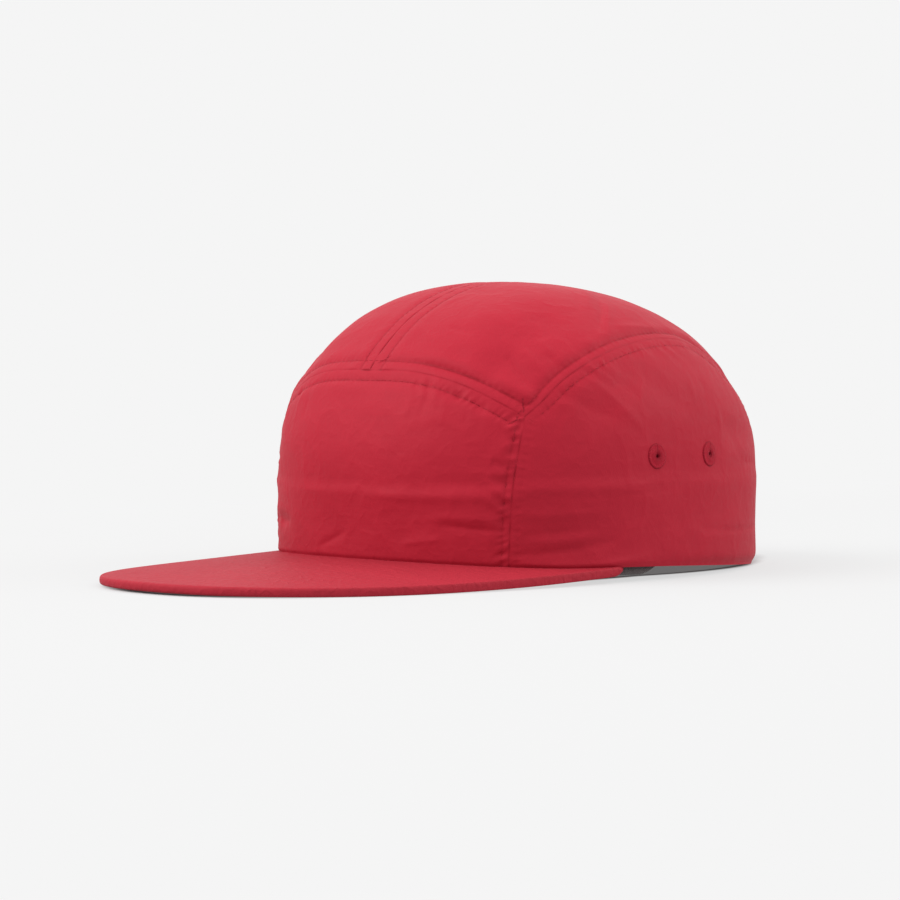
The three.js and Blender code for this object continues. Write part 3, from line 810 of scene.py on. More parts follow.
@dataclass
class Crown:
    """The crown: its form, the seams that cut it, and the relief of its cloth."""

    form: CrownForm = field(default_factory=CrownForm)
    peak: PeakForm = field(default_factory=PeakForm)
    cloth_thickness: float = 1.2
    corner_half_width: float = 62.4
    corner_share: float = 0.547
    front_share: float = 0.697
    foot_half_width: float = 60.8
    rim_gap: float = -0.1
    opening_half_width: float = 32.0
    opening_height: float = 37.0
    opening_seam_turn: float = 26.0
    band_height: float = 30.0
    ridge_depth: float = 0.5
    ridge_front: float = 30.4
    ridge_rise: float = 3.4
    ridge_top: float = 2.6
    ridge_foot: float = 9.0
    ridge_ease: float = 0.5
    fold_depth: float = 1.3
    crease_depth: float = 0.9
    allowance: float = 0.12
    ditch: float = 0.22
    groove: float = 0.42
    eyelet_radius: float = 4.5
    eyelet_height: float = 44.2
    eyelet_spacing: float = 32.0
    eyelet_offset: float = 17.6
    seam_step: float = 0.8
    row_end: float = 1.5
    row_clearance: float = 0.8
    rim_power: float = 1.4
    rim_reach: float = 0.86
    tuck_behind: float = 1.7
    tuck_on_peak: float = 0.5

    def __post_init__(self) -> None:
        """Lays out the seams."""
        form = self.form
        corner = form.at(self.corner_half_width, self.corner_share * form.height, -1)
        foot = self.rim_point(form.at(self.foot_half_width, self.peak.root_height, -1)[None])[0]
        halfway = form.at(foot[0] + (corner[0] - foot[0]) * 0.55, (foot[2] + corner[2]) / 2, -1)
        self.corner_line = form.pull(centripetal(np.array([foot, halfway, corner])))
        across = np.array([0, 0.38, 0.67, 0.86, 1]) * self.corner_half_width
        fall = np.array([0, 0.04, 0.3, 0.64, 1])
        heights = form.height * (self.front_share + (self.corner_share - self.front_share) * fall)
        self.front_line = form.pull(centripetal(form.at(across, heights, -1)))
        shares = np.array([
            (0.177, 0.798, 0.59), (0.229, 0.82, 0.666), (0.288, 0.831, 0.72), (0.373, 0.822, 0.769),
            (0.476, 0.787, 0.798), (0.537, 0.759, 0.802), (0.62, 0.717, 0.788), (0.689, 0.701, 0.742),
            (0.785, 0.664, 0.634), (0.872, 0.588, 0.484), (0.935, 0.47, 0.315),
        ])
        rows = np.stack([
            shares[:, 1] * form.half_width, (shares[:, 0] - 0.5) * form.length, shares[:, 2] * form.height,
        ], -1)
        seam_turn = math.radians(self.opening_seam_turn)
        ends = np.vstack([corner, form.pull(rows), self.opening(np.array([seam_turn]))])
        self.arch_line = form.pull(centripetal(ends))
        start = form.at(0.0, self.front_share * form.height, -1)
        end = self.opening(np.array([math.pi / 2]))[0]
        heart = form.heart
        angles = np.linspace(*(math.atan2(p[2] - heart[2], p[1] - heart[1]) for p in (start, end)), 400)
        rays = np.stack([np.zeros(400), np.cos(angles), np.sin(angles)], -1)
        self.middle_line = form.pull(rays + heart)
        self.opening_top = self.opening(np.linspace(math.pi / 2, seam_turn, 160))
        self.opening_side = self.opening(np.linspace(0, seam_turn, 80))
        self.side_rim = self.rim_between(foot, self.opening(np.array([0.0]))[0])
        self.front_rim = self.rim_between(mirrored(foot), foot)
        self.whole_front = np.vstack([mirrored(self.front_line[1:])[::-1], self.front_line])
        side = np.vstack([self.corner_line[:-1], self.arch_line])
        hem = self.opening(np.linspace(0, math.pi, 300))
        arch_row = ((0, 2.6), (0.2, 2.6), (0.26, 3.3), (0.8, 3.4), (1, 4.8))
        arch_shows = (
            (0, 0.7), (0.2, 0.6), (0.25, 0.7), (0.36, 0.2), (0.45, 0.1), (0.68, 0.2), (0.76, 1), (1, 0.8),
        )
        front_shows = ((0, 0.35), (0.44, 0.2), (0.47, 1), (0.53, 1), (0.56, 0.2), (1, 0.4))
        self.seams = {name: SeamLine(name, even(line, self.seam_step), *rest) for name, line, *rest in (
            ("front", self.whole_front, level(4.2), front_shows, 1.0),
            ("left", side, arch_row, arch_shows, 2.0),
            ("right", mirrored(side), arch_row, arch_shows, 4.4),
            ("middle", self.middle_line, level(5.3), ((0, 0.9), (1, 0.8)), 3.1, ("front", "opening")),
            ("opening", hem, level(4.0), level(0.2), 5.2),
        )}

    def opening(self, turn: Points) -> Points:
        """The back opening's edge, from its top (90 degrees) down to the rim (0), in radians."""
        high = self.opening_height * np.sin(turn)
        return self.form.at(self.opening_half_width * np.cos(turn), high, 1)

    def rim_height(self, x: Points, y: Points) -> Points:
        """Height of the rim: on the peak in front, then down to the floor at the back."""
        peak = self.peak
        end = float(peak.top(np.array(peak.half_width), np.array(-peak.end_offset))) + self.rim_gap
        share = (y + peak.end_offset) / (self.form.length / 2 + peak.end_offset)
        behind = end * (1 - np.clip(share / self.rim_reach, 0, 1) ** self.rim_power)
        return np.where(y <= -peak.end_offset, peak.top(x, y) + self.rim_gap, behind)

    def rim_point(self, points: Points) -> Points:
        """The rim's points in the directions of points in plan."""
        flat = points * np.array([1.0, 1.0, 0.0])
        for _ in range(4):
            found = flat.copy()
            found[:, 2] = self.rim_height(points[:, 0], points[:, 1])
            points = self.form.pull_level(found)
        return points

    def turn_of(self, point: Points) -> float:
        """The direction of a point in plan, 0 to the front."""
        return math.atan2(point[0], -(point[1] + self.form.top_offset))

    def plan(self, turn: Points) -> Points:
        """Points in plan in given directions."""
        return np.stack([np.sin(turn), -self.form.top_offset - np.cos(turn), np.zeros_like(turn)], -1)

    def rim_between(self, start: Points, end: Points) -> Points:
        """The rim's line from one point to another."""
        return self.rim_point(self.plan(np.linspace(self.turn_of(start), self.turn_of(end), 500)))

    def eyelets(self, side: Side) -> Points:
        """The middles of a side's two eyelets, on the smooth form."""
        y = np.arange(2) * self.eyelet_spacing - self.eyelet_offset
        x = np.full(2, side.value * self.form.half_width)
        return self.form.pull_level(np.stack([x, y, np.full(2, self.eyelet_height)], -1))

    def dent(self, points: Points) -> Points:
        """How far the ridge over the sweatband and the soft folds leave the smooth form.

        The ridge is lower on the wearer's right.
        """
        x, y, z = points[:, 0], points[:, 1] + self.form.top_offset, points[:, 2]
        around = np.degrees(np.arctan2(np.abs(x), -y))
        above = z - self.ridge_front - self.ridge_rise * smoothstep(around / 80)
        openness = smoothstep((around - 140) / 15)
        ridge = np.where(above > 0, bell(above, self.ridge_top), bell(above, self.ridge_foot))
        depth = -self.ridge_depth * ridge * (1 - openness) * (1 - self.ridge_ease * smoothstep(-x / 50))
        for fold in FOLDS:
            across = np.radians(around - fold.around) * np.hypot(x, y)
            up = z - fold.up * self.form.height
            tilt = math.radians(fold.tilt)
            lengthways = (across * math.cos(tilt) + up * math.sin(tilt)) / fold.long / self.form.half_width
            widthways = (up * math.cos(tilt) - across * math.sin(tilt)) / fold.wide / self.form.half_width
            depth += self.fold_depth * fold.deep * np.exp(-(lengthways**2) - widthways**2)
        return depth

    def creases(self, points: Points) -> Points:
        """How far the creases pull the cloth in."""
        depth = np.zeros(len(points))
        for crease in CREASES:
            ends = np.array([crease.start, crease.end], float)
            level = np.hypot(*(ends[1] - ends[0])[:2]) / np.linalg.norm(ends[1] - ends[0])
            for side in Side:
                if side is Side.RIGHT and ends[:, 0].min() < 30:
                    continue
                strong = 1.0 if side is Side.LEFT else 0.7
                drop = np.array([0, 0, 0.45 * crease.width * level])
                line = self.form.pull(at_shares(ends * (side.value, 1, 1), np.linspace(0, 1, 12)) - drop)
                reach = lengths(line)[-1] / 2 + 3 * crease.width
                near = np.linalg.norm(points - line[6], axis=1) < reach + 2
                if not near.any():
                    continue
                apart, along, _ = nearest_on(line, points[near])
                share = along / lengths(line)[-1]
                taper = np.sqrt(np.clip(4 * share * (1 - share), 0, 1)) * 0.85 + 0.15
                depth[near] += crease.deep * strong * taper * crest(apart, crease.width)
        return depth * self.crease_depth

    def softness(self, points: Points) -> Points:
        """Slow, uneven rise and fall of soft cloth."""
        found = np.empty(len(points))
        for i, p in enumerate(points):
            wide = noise.noise(Vector((p[0] / 34, p[1] / 34, p[2] / 26)))
            fine = noise.noise(Vector((p[0] / 13 + 7, p[1] / 13, p[2] / 10)))
            found[i] = 0.55 * wide + 0.16 * fine
        return found

    def relief(self, points: Points, hems: dict[str, Hem]) -> tuple[Points, dict[str, Points]]:
        """How far out of the smooth form the cloth's outer face lies.

        Args:
            points: points on the form.
            hems: how this cloth lies along the seams beside it, by their names.

        Returns:
            The height, and what the cloth's finish reads: the distances from the nearest seam and
            its row of stitches, how strongly each shows, and the length along the seam.
        """
        best, row_best = np.full(len(points), 1e3), np.full(len(points), 1e3)
        carried = {name: np.zeros(len(points)) for name in ("seam_along", "seam_shows", "row_shows")}
        raised, groove, pucker = (np.zeros(len(points)) for _ in range(3))
        found = {}
        for name in hems:
            seam = self.seams[name]
            apart, along, past = seam.nearest(points)
            share = seam.share(along)
            found[name] = apart, along, past, share, apart - profile_at(seam.row, share)
        for name, hem in hems.items():
            seam = self.seams[name]
            apart, along, past, share, from_row = found[name]
            beside = bell(past, self.row_end)
            row, strong = profile_at(hem.row, share), profile_at(hem.pucker, share)
            for other in found:
                if other not in (name, *seam.over):
                    clear = found[other][4] + found[other][2] + self.row_clearance
                    row = row * smoothstep(clear / self.row_clearance)
            raised = np.maximum(raised, row * (1 - smoothstep((from_row + 0.4) / 1.2)))
            sunk = crest(from_row, 1.5) + 0.4 * row * bell(from_row, 2.0)
            groove = np.maximum(groove, beside * row * sunk)
            fine = FINE.rise(along, apart, from_row, seam.seed)
            coarse = COARSE.rise(along, apart, from_row, seam.seed + 1)
            swell = SWELL.rise(along, apart, from_row, seam.seed + 2)
            pucker += beside * (strong * (fine + coarse) + row * swell)
            nearer, row_nearer = apart < best, np.abs(from_row) + past < np.abs(row_best)
            best, row_best = np.where(nearer, apart, best), np.where(row_nearer, from_row, row_best)
            uneven = np.clip(0.6 + 0.7 * waver(along, 12.0, seam.seed + 3), 0.15, 1)
            for what, there, number in (
                ("seam_along", nearer, along), ("row_shows", row_nearer, row * np.sqrt(uneven)),
                ("seam_shows", nearer, profile_at(seam.shows, share) * uneven),
            ):
                carried[what] = np.where(there, number, carried[what])
        free = 1 - crest(best, 0.5)
        ditch = self.ditch * (0.06 + carried["seam_shows"]) * crest(best, 0.5)
        height = self.softness(points) - self.creases(points) - ditch
        height += free * (raised * self.allowance + pucker - self.groove * groove)
        for side in Side:
            for middle in self.eyelets(side):
                gap = np.linalg.norm(points - middle, axis=1)
                height += np.where(gap < 14, (0.2 - height) * bell(gap, 6.5) * 0.6, 0)
                height -= 0.15 * bell(gap - self.eyelet_radius - 0.3, 0.8)
        carried |= {"seam_distance": best, "row_distance": row_best}
        return height - self.dent(points) - self.tuck(points), carried

    def tuck(self, points: Points) -> Points:
        """How far the rim's edge curls in: a little on the peak, more behind it."""
        above = points[:, 2] - self.rim_height(points[:, 0], points[:, 1])
        behind = smoothstep((points[:, 1] + self.peak.end_offset) / 60)
        low = self.tuck_on_peak * (1 - behind) * bell(above, 0.8)
        return self.tuck_behind * behind * bell(above, 2.3) + low

    def cloth(self, points: Points, hems: dict[str, Hem]) -> Points:
        """Points of the cloth's outer face for points on the smooth form."""
        return points + self.form.normal(points) * self.relief(points, hems)[0][:, None]


# Meshes


Y_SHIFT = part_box("peak")[0].y / MM + PeakForm().length + CrownForm().length / 2


def placed(points: Points) -> Points:
    """Points in millimetres, moved to the row frame, in metres."""
    return (points + np.array([0.0, Y_SHIFT, 0.0])) * MM


def keep(form: bmesh.types.BMesh, name: str, material: bpy.types.Material) -> bpy.types.Object:
    """Makes a smooth object in the scene from a bmesh.

    Args:
        form: the bmesh, which is freed.
        name: the piece's name.
        material: its finish.

    Returns:
        The object.
    """
    mesh = bpy.data.meshes.new(name)
    for face in form.faces:
        face.smooth = True
    for edge in form.edges:
        edge.smooth = not edge.is_boundary
    form.to_mesh(mesh)
    form.free()
    mesh.materials.append(material)
    made = bpy.data.objects.new(name, mesh)
    bpy.context.scene.collection.objects.link(made)
    return made


def shaped_grid(
    places: Points, uv: Points, carried: dict[str, Points], outward: Points,
) -> bmesh.types.BMesh:
    """A grid of faces bent to given places.

    Args:
        places: the vertices' places in millimetres, by row and column.
        uv: the cloth's own directions at them, in millimetres.
        carried: numbers that the vertices carry, by name.
        outward: directions out of the surface, to turn its faces to.

    Returns:
        The bmesh, in the row frame.
    """
    rows, columns = places.shape[0] - 1, places.shape[1] - 1
    over = places[1:, :-1] - places[:-1, :-1]
    beside = places[:-1, 1:] - places[:-1, :-1]
    if (np.cross(beside, over) * outward[:-1, :-1]).sum() < 0:
        places, uv = places[:, ::-1], uv[:, ::-1]
        carried = {name: numbers[:, ::-1] for name, numbers in carried.items()}
    form = bmesh.new()
    layer = form.loops.layers.uv.new("cloth")
    layers = {name: form.verts.layers.float.new(name) for name in carried}
    bmesh.ops.create_grid(form, x_segments=columns, y_segments=rows, size=0.5)
    set_places = placed(places)
    cells = {}
    for vertex in form.verts:
        i, j = round((vertex.co.x + 0.5) * columns), round((vertex.co.y + 0.5) * rows)
        cells[vertex] = (j, i)
        vertex.co = set_places[j, i]
        for name, numbers in carried.items():
            vertex[layers[name]] = numbers[j, i]
    for face in form.faces:
        for loop in face.loops:
            loop[layer].uv = uv[cells[loop.vert]] * MM
    return form


def thicken(piece: bpy.types.Object, thickness: float) -> None:
    """Gives a sheet its thickness in millimetres, inward."""
    wall = piece.modifiers.new("wall", "SOLIDIFY")
    wall.thickness = thickness * MM
    wall.offset = -1.0


def graded(length: float, fine: float, coarse: float, border: float) -> Points:
    """Shares of a length, close together near both its ends.

    Args:
        length: the length in millimetres.
        fine: the step at the ends.
        coarse: the step in the middle.
        border: the length over which the step stays fine.

    Returns:
        The shares, from 0 to 1.
    """
    marks = np.linspace(0, length, 3001)
    inside = np.minimum(marks, length - marks)
    step = fine * (0.55 + 0.45 * smoothstep(inside / 2))
    step += (coarse - fine) * smoothstep((inside - border) / border)
    count = np.concatenate([[0], np.cumsum((1 / step[1:] + 1 / step[:-1]) / 2 * np.diff(marks))])
    return np.interp(np.linspace(0, count[-1], math.ceil(count[-1]) + 1), count, marks) / length


@dataclass
class Panel:
    """One cloth panel of the crown, between four edges."""

    name: str
    crown: Crown
    low: Points
    high: Points
    start: Points
    end: Points
    hems: dict[str, Hem]
    fine: float = 0.5
    coarse: float = 0.95
    border: float = 9.0
    cut_radius: float = 2.6

    def build(self, material: bpy.types.Material, holes: Points | None = None) -> bpy.types.Object:
        """Makes the panel.

        Args:
            material: its cloth.
            holes: middles of the eyelets that open it, or None.

        Returns:
            The object, which replaces the CAD node of the same name.
        """
        wide = (lengths(self.low)[-1] + lengths(self.high)[-1]) / 2
        tall = (lengths(self.start)[-1] + lengths(self.end)[-1]) / 2
        step = 1.0
        u = graded(wide, self.fine * step, self.coarse * step, self.border)
        v = graded(tall, self.fine * step, self.coarse * step, self.border)
        low, high = at_shares(self.low, u), at_shares(self.high, u)
        start, end = at_shares(self.start, v), at_shares(self.end, v)
        a, b = u[None, :, None], v[:, None, None]
        flat = (1 - b) * low + b * high + (1 - a) * start[:, None] + a * end[:, None]
        flat = flat - (1 - b) * ((1 - a) * low[0] + a * low[-1]) - b * ((1 - a) * high[0] + a * high[-1])
        smooth = self.crown.form.pull(flat)
        smooth[[0, -1]], smooth[:, [0, -1]] = flat[[0, -1]], flat[:, [0, -1]]
        points = smooth.reshape(-1, 3)
        height, carried = self.crown.relief(points, self.hems)
        normal = self.crown.form.normal(points)
        places = (points + normal * height[:, None]).reshape(smooth.shape)
        uv = np.stack(np.broadcast_arrays(u[None, :] * wide, v[:, None] * tall), -1)
        carried = {name: numbers.reshape(smooth.shape[:2]) for name, numbers in carried.items()}
        form = shaped_grid(places, uv, carried, normal.reshape(smooth.shape))
        for middle in placed(self.crown.cloth(holes, self.hems)) if holes is not None else ():
            at = Vector(middle)
            reach = self.cut_radius * MM
            inside = [f for f in form.faces if (f.calc_center_median() - at).length < reach]
            bmesh.ops.delete(form, geom=inside, context="FACES")
        made = keep(form, f"{self.name}_cloth", material)
        thicken(made, self.crown.cloth_thickness)
        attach(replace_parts(made, self.name), "root")
        return made


@dataclass
class Stitches:
    """Rows of short stitches that lie on the cloth."""

    name: str
    slot: str
    length: float = 2.3
    pitch: float = 2.7
    radius: float = 0.17
    lift: float = -0.03
    reach: float = 0.6

    def __post_init__(self) -> None:
        """Starts with no stitches."""
        self.form = bmesh.new()
        self.count = 0

    def row(self, line: Points, normals: Points) -> None:
        """Lays one row.

        Args:
            line: points on the cloth, close together, in millimetres.
            normals: directions out of the cloth at them.
        """
        far = lengths(line)
        for middle in np.arange(self.pitch, far[-1] - self.pitch / 2, self.pitch):
            here, ahead, behind = (
                np.array([np.interp(middle + d, far, line[:, i]) for i in range(3)])
                for d in (0, self.reach, -self.reach)
            )
            up = np.array([np.interp(middle, far, normals[:, i]) for i in range(3)])
            way = Vector(ahead - behind).normalized()
            beside = Vector(up).cross(way).normalized()
            over = way.cross(beside)
            turn = Matrix((way, beside, over)).transposed().to_4x4()
            size = Matrix.Diagonal((self.length / 2 * MM, self.radius * MM, self.radius * MM, 1))
            place = Matrix.Translation(placed(here + np.array(over) * self.lift))
            bmesh.ops.create_uvsphere(
                self.form, u_segments=6, v_segments=5, radius=1,
                matrix=place @ turn @ size @ Matrix.Rotation(math.pi / 2, 4, "Y"),
            )
            self.count += 1

    def build(self, material: bpy.types.Material) -> bpy.types.Object:
        """Makes the rows one piece."""
        made = keep(self.form, self.name, material)
        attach(made, "root")
        return (made, self.slot)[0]


@dataclass
class SeamStitching:
    """The topstitching beside the crown's seams and round the back opening."""

    crown: Crown
    rim_clearance: float = 1.0
    least_row: float = 0.2

    def beside(self, seam: SeamLine, side: float) -> Points:
        """The row on one side of a seam, on the smooth form."""
        form = self.crown.form
        way = np.gradient(seam.points, axis=0)
        normal = form.normal(seam.points)
        across = np.cross(normal, way / np.linalg.norm(way, axis=1, keepdims=True))
        apart = profile_at(seam.row, np.linspace(0, 1, len(across)))
        line = form.pull(seam.points + across * side * apart[:, None])
        return even(line, self.crown.seam_step)

    def rows(
        self, name: str, sides: dict[float, dict[str, Hem]], clear_of: tuple[str, ...],
    ) -> Stitches:
        """Sews the rows beside one seam.

        Args:
            name: the seam.
            sides: for each side of it, how the panel's cloth lies along the seams there.
            clear_of: other seams that the rows stop at.

        Returns:
            The stitches.
        """
        crown = self.crown
        sewn = Stitches(f"stitches_{name}_seam", "crown_cloth")
        for side, hems in sides.items():
            line = self.beside(crown.seams[name], side)
            lowest = crown.rim_height(line[:, 0], line[:, 1]) + self.rim_clearance
            strong = profile_at(hems[name].row, np.linspace(0, 1, len(line)))
            kept = (line[:, 2] > lowest) & (strong > self.least_row)
            for other in clear_of:
                apart, along, _ = crown.seams[other].nearest(line)
                other_row = profile_at(crown.seams[other].row, crown.seams[other].share(along))
                kept &= apart > (1.0 if other in crown.seams[name].over else other_row)
            line = line[kept]
            sewn.row(crown.cloth(line, hems), crown.form.normal(line))
        return sewn


@dataclass
class Eyelet:
    """A ring sewn round a hole in a side panel."""

    name: str
    middle: Points
    normal: Points
    radius: float = 4.5
    hole: float = 0.55
    head: float = 0.38
    cloth: float = 1.2
    spokes: int = 23
    spoke_height: float = 0.025
    steps: int = 72

    def build(self, material: bpy.types.Material) -> bpy.types.Object:
        """Spins the ring's section round the hole's axis."""
        ring = self.radius - self.hole
        back = -self.cloth - self.head / 2
        turned_up = ((0.06, 0.42), (0.16, 0.6), (0.26, 0.5), (0.36, 0.62), (0.55, 0.95), (0.74, 0.92))
        section = [
            (self.hole, back * 0.6), (self.hole + ring * 0.2, back), (self.radius - ring * 0.15, back),
            (self.radius, back * 0.7), (self.radius + 0.05, -0.1),
            *((self.radius - ring * inward, self.head * high) for inward, high in turned_up),
            (self.hole + ring * 0.1, self.head * 0.55), (self.hole, self.head * 0.05),
        ]
        form = bmesh.new()
        corners = [form.verts.new((radius, 0, height)) for radius, height in section]
        edges = [form.edges.new(pair) for pair in zip(corners, corners[1:] + corners[:1])]
        bmesh.ops.subdivide_edges(form, edges=edges, cuts=1, smooth=0.6)
        bmesh.ops.spin(form, geom=form.verts[:] + form.edges[:], cent=(0, 0, 0), axis=(0, 0, 1),
                       angle=2 * math.pi, steps=self.steps, use_merge=True)
        bmesh.ops.remove_doubles(form, verts=form.verts[:], dist=1e-4)
        bmesh.ops.recalc_face_normals(form, faces=form.faces[:])
        turn_layer, out_layer = form.verts.layers.float.new("turn"), form.verts.layers.float.new("out")
        for vertex in form.verts:
            turn = math.atan2(vertex.co.y, vertex.co.x)
            vertex[turn_layer], vertex[out_layer] = turn, math.hypot(vertex.co.x, vertex.co.y)
            vertex.co.z += self.spoke_height * math.sin(self.spokes * turn) * (vertex.co.z > 0)
        stand = Vector((0, 0, 1)).rotation_difference(Vector(self.normal)).to_matrix().to_4x4()
        place = Matrix.Translation(placed(self.middle)) @ stand @ Matrix.Diagonal((MM, MM, MM, 1))
        bmesh.ops.transform(form, matrix=place, verts=form.verts[:])
        made = keep(form, f"{self.name}_ring", material)
        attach(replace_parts(made, self.name), "root")
        return made


@dataclass
class Peak:
    """The flat peak: cloth over a board, with a rounded edge."""

    crown: Crown
    turns: int = 240
    nose: float = 1.5
    nose_power: float = 2.5
    tip: float = 3.4
    tip_lift: float = 0.5
    rows: int = 60
    nose_rows: int = 15

    def build(self, material: bpy.types.Material) -> bpy.types.Object:
        """Lays the cloth from the root over the edge and back, and closes it."""
        form, peak = self.crown.form, self.crown.peak
        round_tip = np.array([0.995, 0.95, 0.85, 0.7, 0.5, 0.25])
        back = np.concatenate([round_tip, np.zeros(self.turns + 1), round_tip[::-1]])
        share = np.pad(np.linspace(-0.5, 0.5, self.turns + 1), len(round_tip), "edge")
        edge = peak.edge(math.pi * share * 0.994)
        turn = 2 * share * self.crown.turn_of(peak.edge(np.array([math.pi / 2]))[0])
        wall = self.crown.plan(turn)
        wall[:, 2] = peak.root_height
        wall = form.pull_level(wall)
        out = form.normal(wall)[:, :2]
        root = wall[:, :2] - out * self.crown.cloth_thickness
        way = edge - root
        far = np.linalg.norm(way, axis=1)
        rows = [(step, 1.0, 0.0) for step in np.linspace(0, 1, self.rows)]
        for angle in np.linspace(0, math.pi, self.nose_rows)[1:-1]:
            bend = 2 / self.nose_power
            rise = math.copysign(abs(math.cos(angle)) ** bend, math.cos(angle))
            rows.append((1.0, rise, math.sin(angle) ** bend))
        rows += [(step, -1.0, 0.0) for step in np.linspace(1, 0, self.rows)]
        half = peak.thickness / 2
        places, uv = [], []
        for step, rise, ahead in rows:
            reach = (far - self.nose) * step + self.nose * ahead
            at = root + way / far[:, None] * reach[:, None]
            middle = peak.top(at[:, 0], at[:, 1]) - half + back * self.tip_lift
            at[:, 1] += back * self.tip
            places.append(np.column_stack([at, middle + rise * half * np.sqrt(1 - back**2)]))
            uv.append(np.column_stack([at[:, 0], at[:, 1] - ahead * self.nose + (1 - rise) * 2]))
        places, uv = np.array(places), np.array(uv)
        up = np.zeros_like(places)
        up[:self.rows, :, 2], up[-self.rows:, :, 2] = 1.0, -1.0
        grid = shaped_grid(places, uv, {}, up)
        roots = []
        for row in (0, len(rows) - 1):
            line = {tuple(np.round(p, 7)) for p in placed(places[row])}
            roots += [e for e in grid.edges if e.is_boundary and all(
                tuple(np.round(np.array(v.co), 7)) in line for v in e.verts)]
        bmesh.ops.bridge_loops(grid, edges=list(dict.fromkeys(roots)))
        bmesh.ops.holes_fill(grid, edges=[e for e in grid.edges if e.is_boundary], sides=0)
        bmesh.ops.recalc_face_normals(grid, faces=grid.faces[:])
        made = keep(grid, "covered_peak", material)
        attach(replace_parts(made, "peak"), "root")
        return made


@dataclass
class Sweatband:
    """The band inside the rim, which ends beside the back opening."""

    crown: Crown
    thickness: float = 1.2
    gap: float = 0.3
    low_length: float = 11.0
    rise_length: float = 12.0
    end_length: float = 16.0
    around_step: float = 1.3
    length: float = 470.0
    rows: int = 30
    seam_share: float = 0.1

    def grid(self, up: Points, depth: float) -> Points:
        """The band's points at shares of its height and a depth below the crown."""
        crown, form = self.crown, self.crown.form
        opening = crown.opening(np.array([0.0]))[0]
        out = math.hypot(opening[0], opening[1] + form.top_offset)
        end = crown.turn_of(opening) - self.end_length / out
        turn = np.linspace(-end, end, round(self.length / self.around_step))
        rim = crown.rim_point(crown.plan(turn))
        behind = smoothstep((rim[:, 1] + crown.peak.end_offset - self.low_length) / self.rise_length)
        low = rim[:, 2] - crown.peak.thickness * (1 - behind) + self.gap
        rows = []
        for share in up:
            wall = crown.plan(turn)
            wall[:, 2] = low + (rim[:, 2] + crown.band_height - low) * share
            wall = form.pull_level(wall)
            rows.append(wall - form.normal(wall) * (depth + crown.tuck(wall))[:, None])
        return np.array(rows)

    def build(self, material: bpy.types.Material) -> bpy.types.Object:
        """Makes the band, with a soft roll along its upper edge."""
        up = np.linspace(0, 1, self.rows)
        places = self.grid(up, self.crown.cloth_thickness + self.gap)
        uv = np.stack(np.broadcast_arrays(
            np.linspace(0, self.length, places.shape[1])[None, :], up[:, None] * self.crown.band_height), -1)
        outward = places - np.array([0, -self.crown.form.top_offset, 0])
        outward[..., 2] = 0
        made = keep(shaped_grid(places, uv, {}, outward), "soft_sweatband", material)
        thicken(made, self.thickness)
        bevel = made.modifiers.new("soft_edge", "BEVEL")
        bevel.width, bevel.segments, bevel.limit_method = 0.4 * MM, 2, "ANGLE"
        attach(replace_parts(made, "sweatband"), "root")
        return made

    def sew(self, material: bpy.types.Material) -> bpy.types.Object:
        """Makes the row that holds the band to the rim, seen from inside."""
        sewn = Stitches("stitches_sweatband", "sweatband_cloth")
        depth = self.crown.cloth_thickness + self.gap + self.thickness
        line = self.grid(np.array([self.seam_share]), depth)[0]
        sewn.row(line, -self.crown.form.normal(line))
        return sewn.build(material)


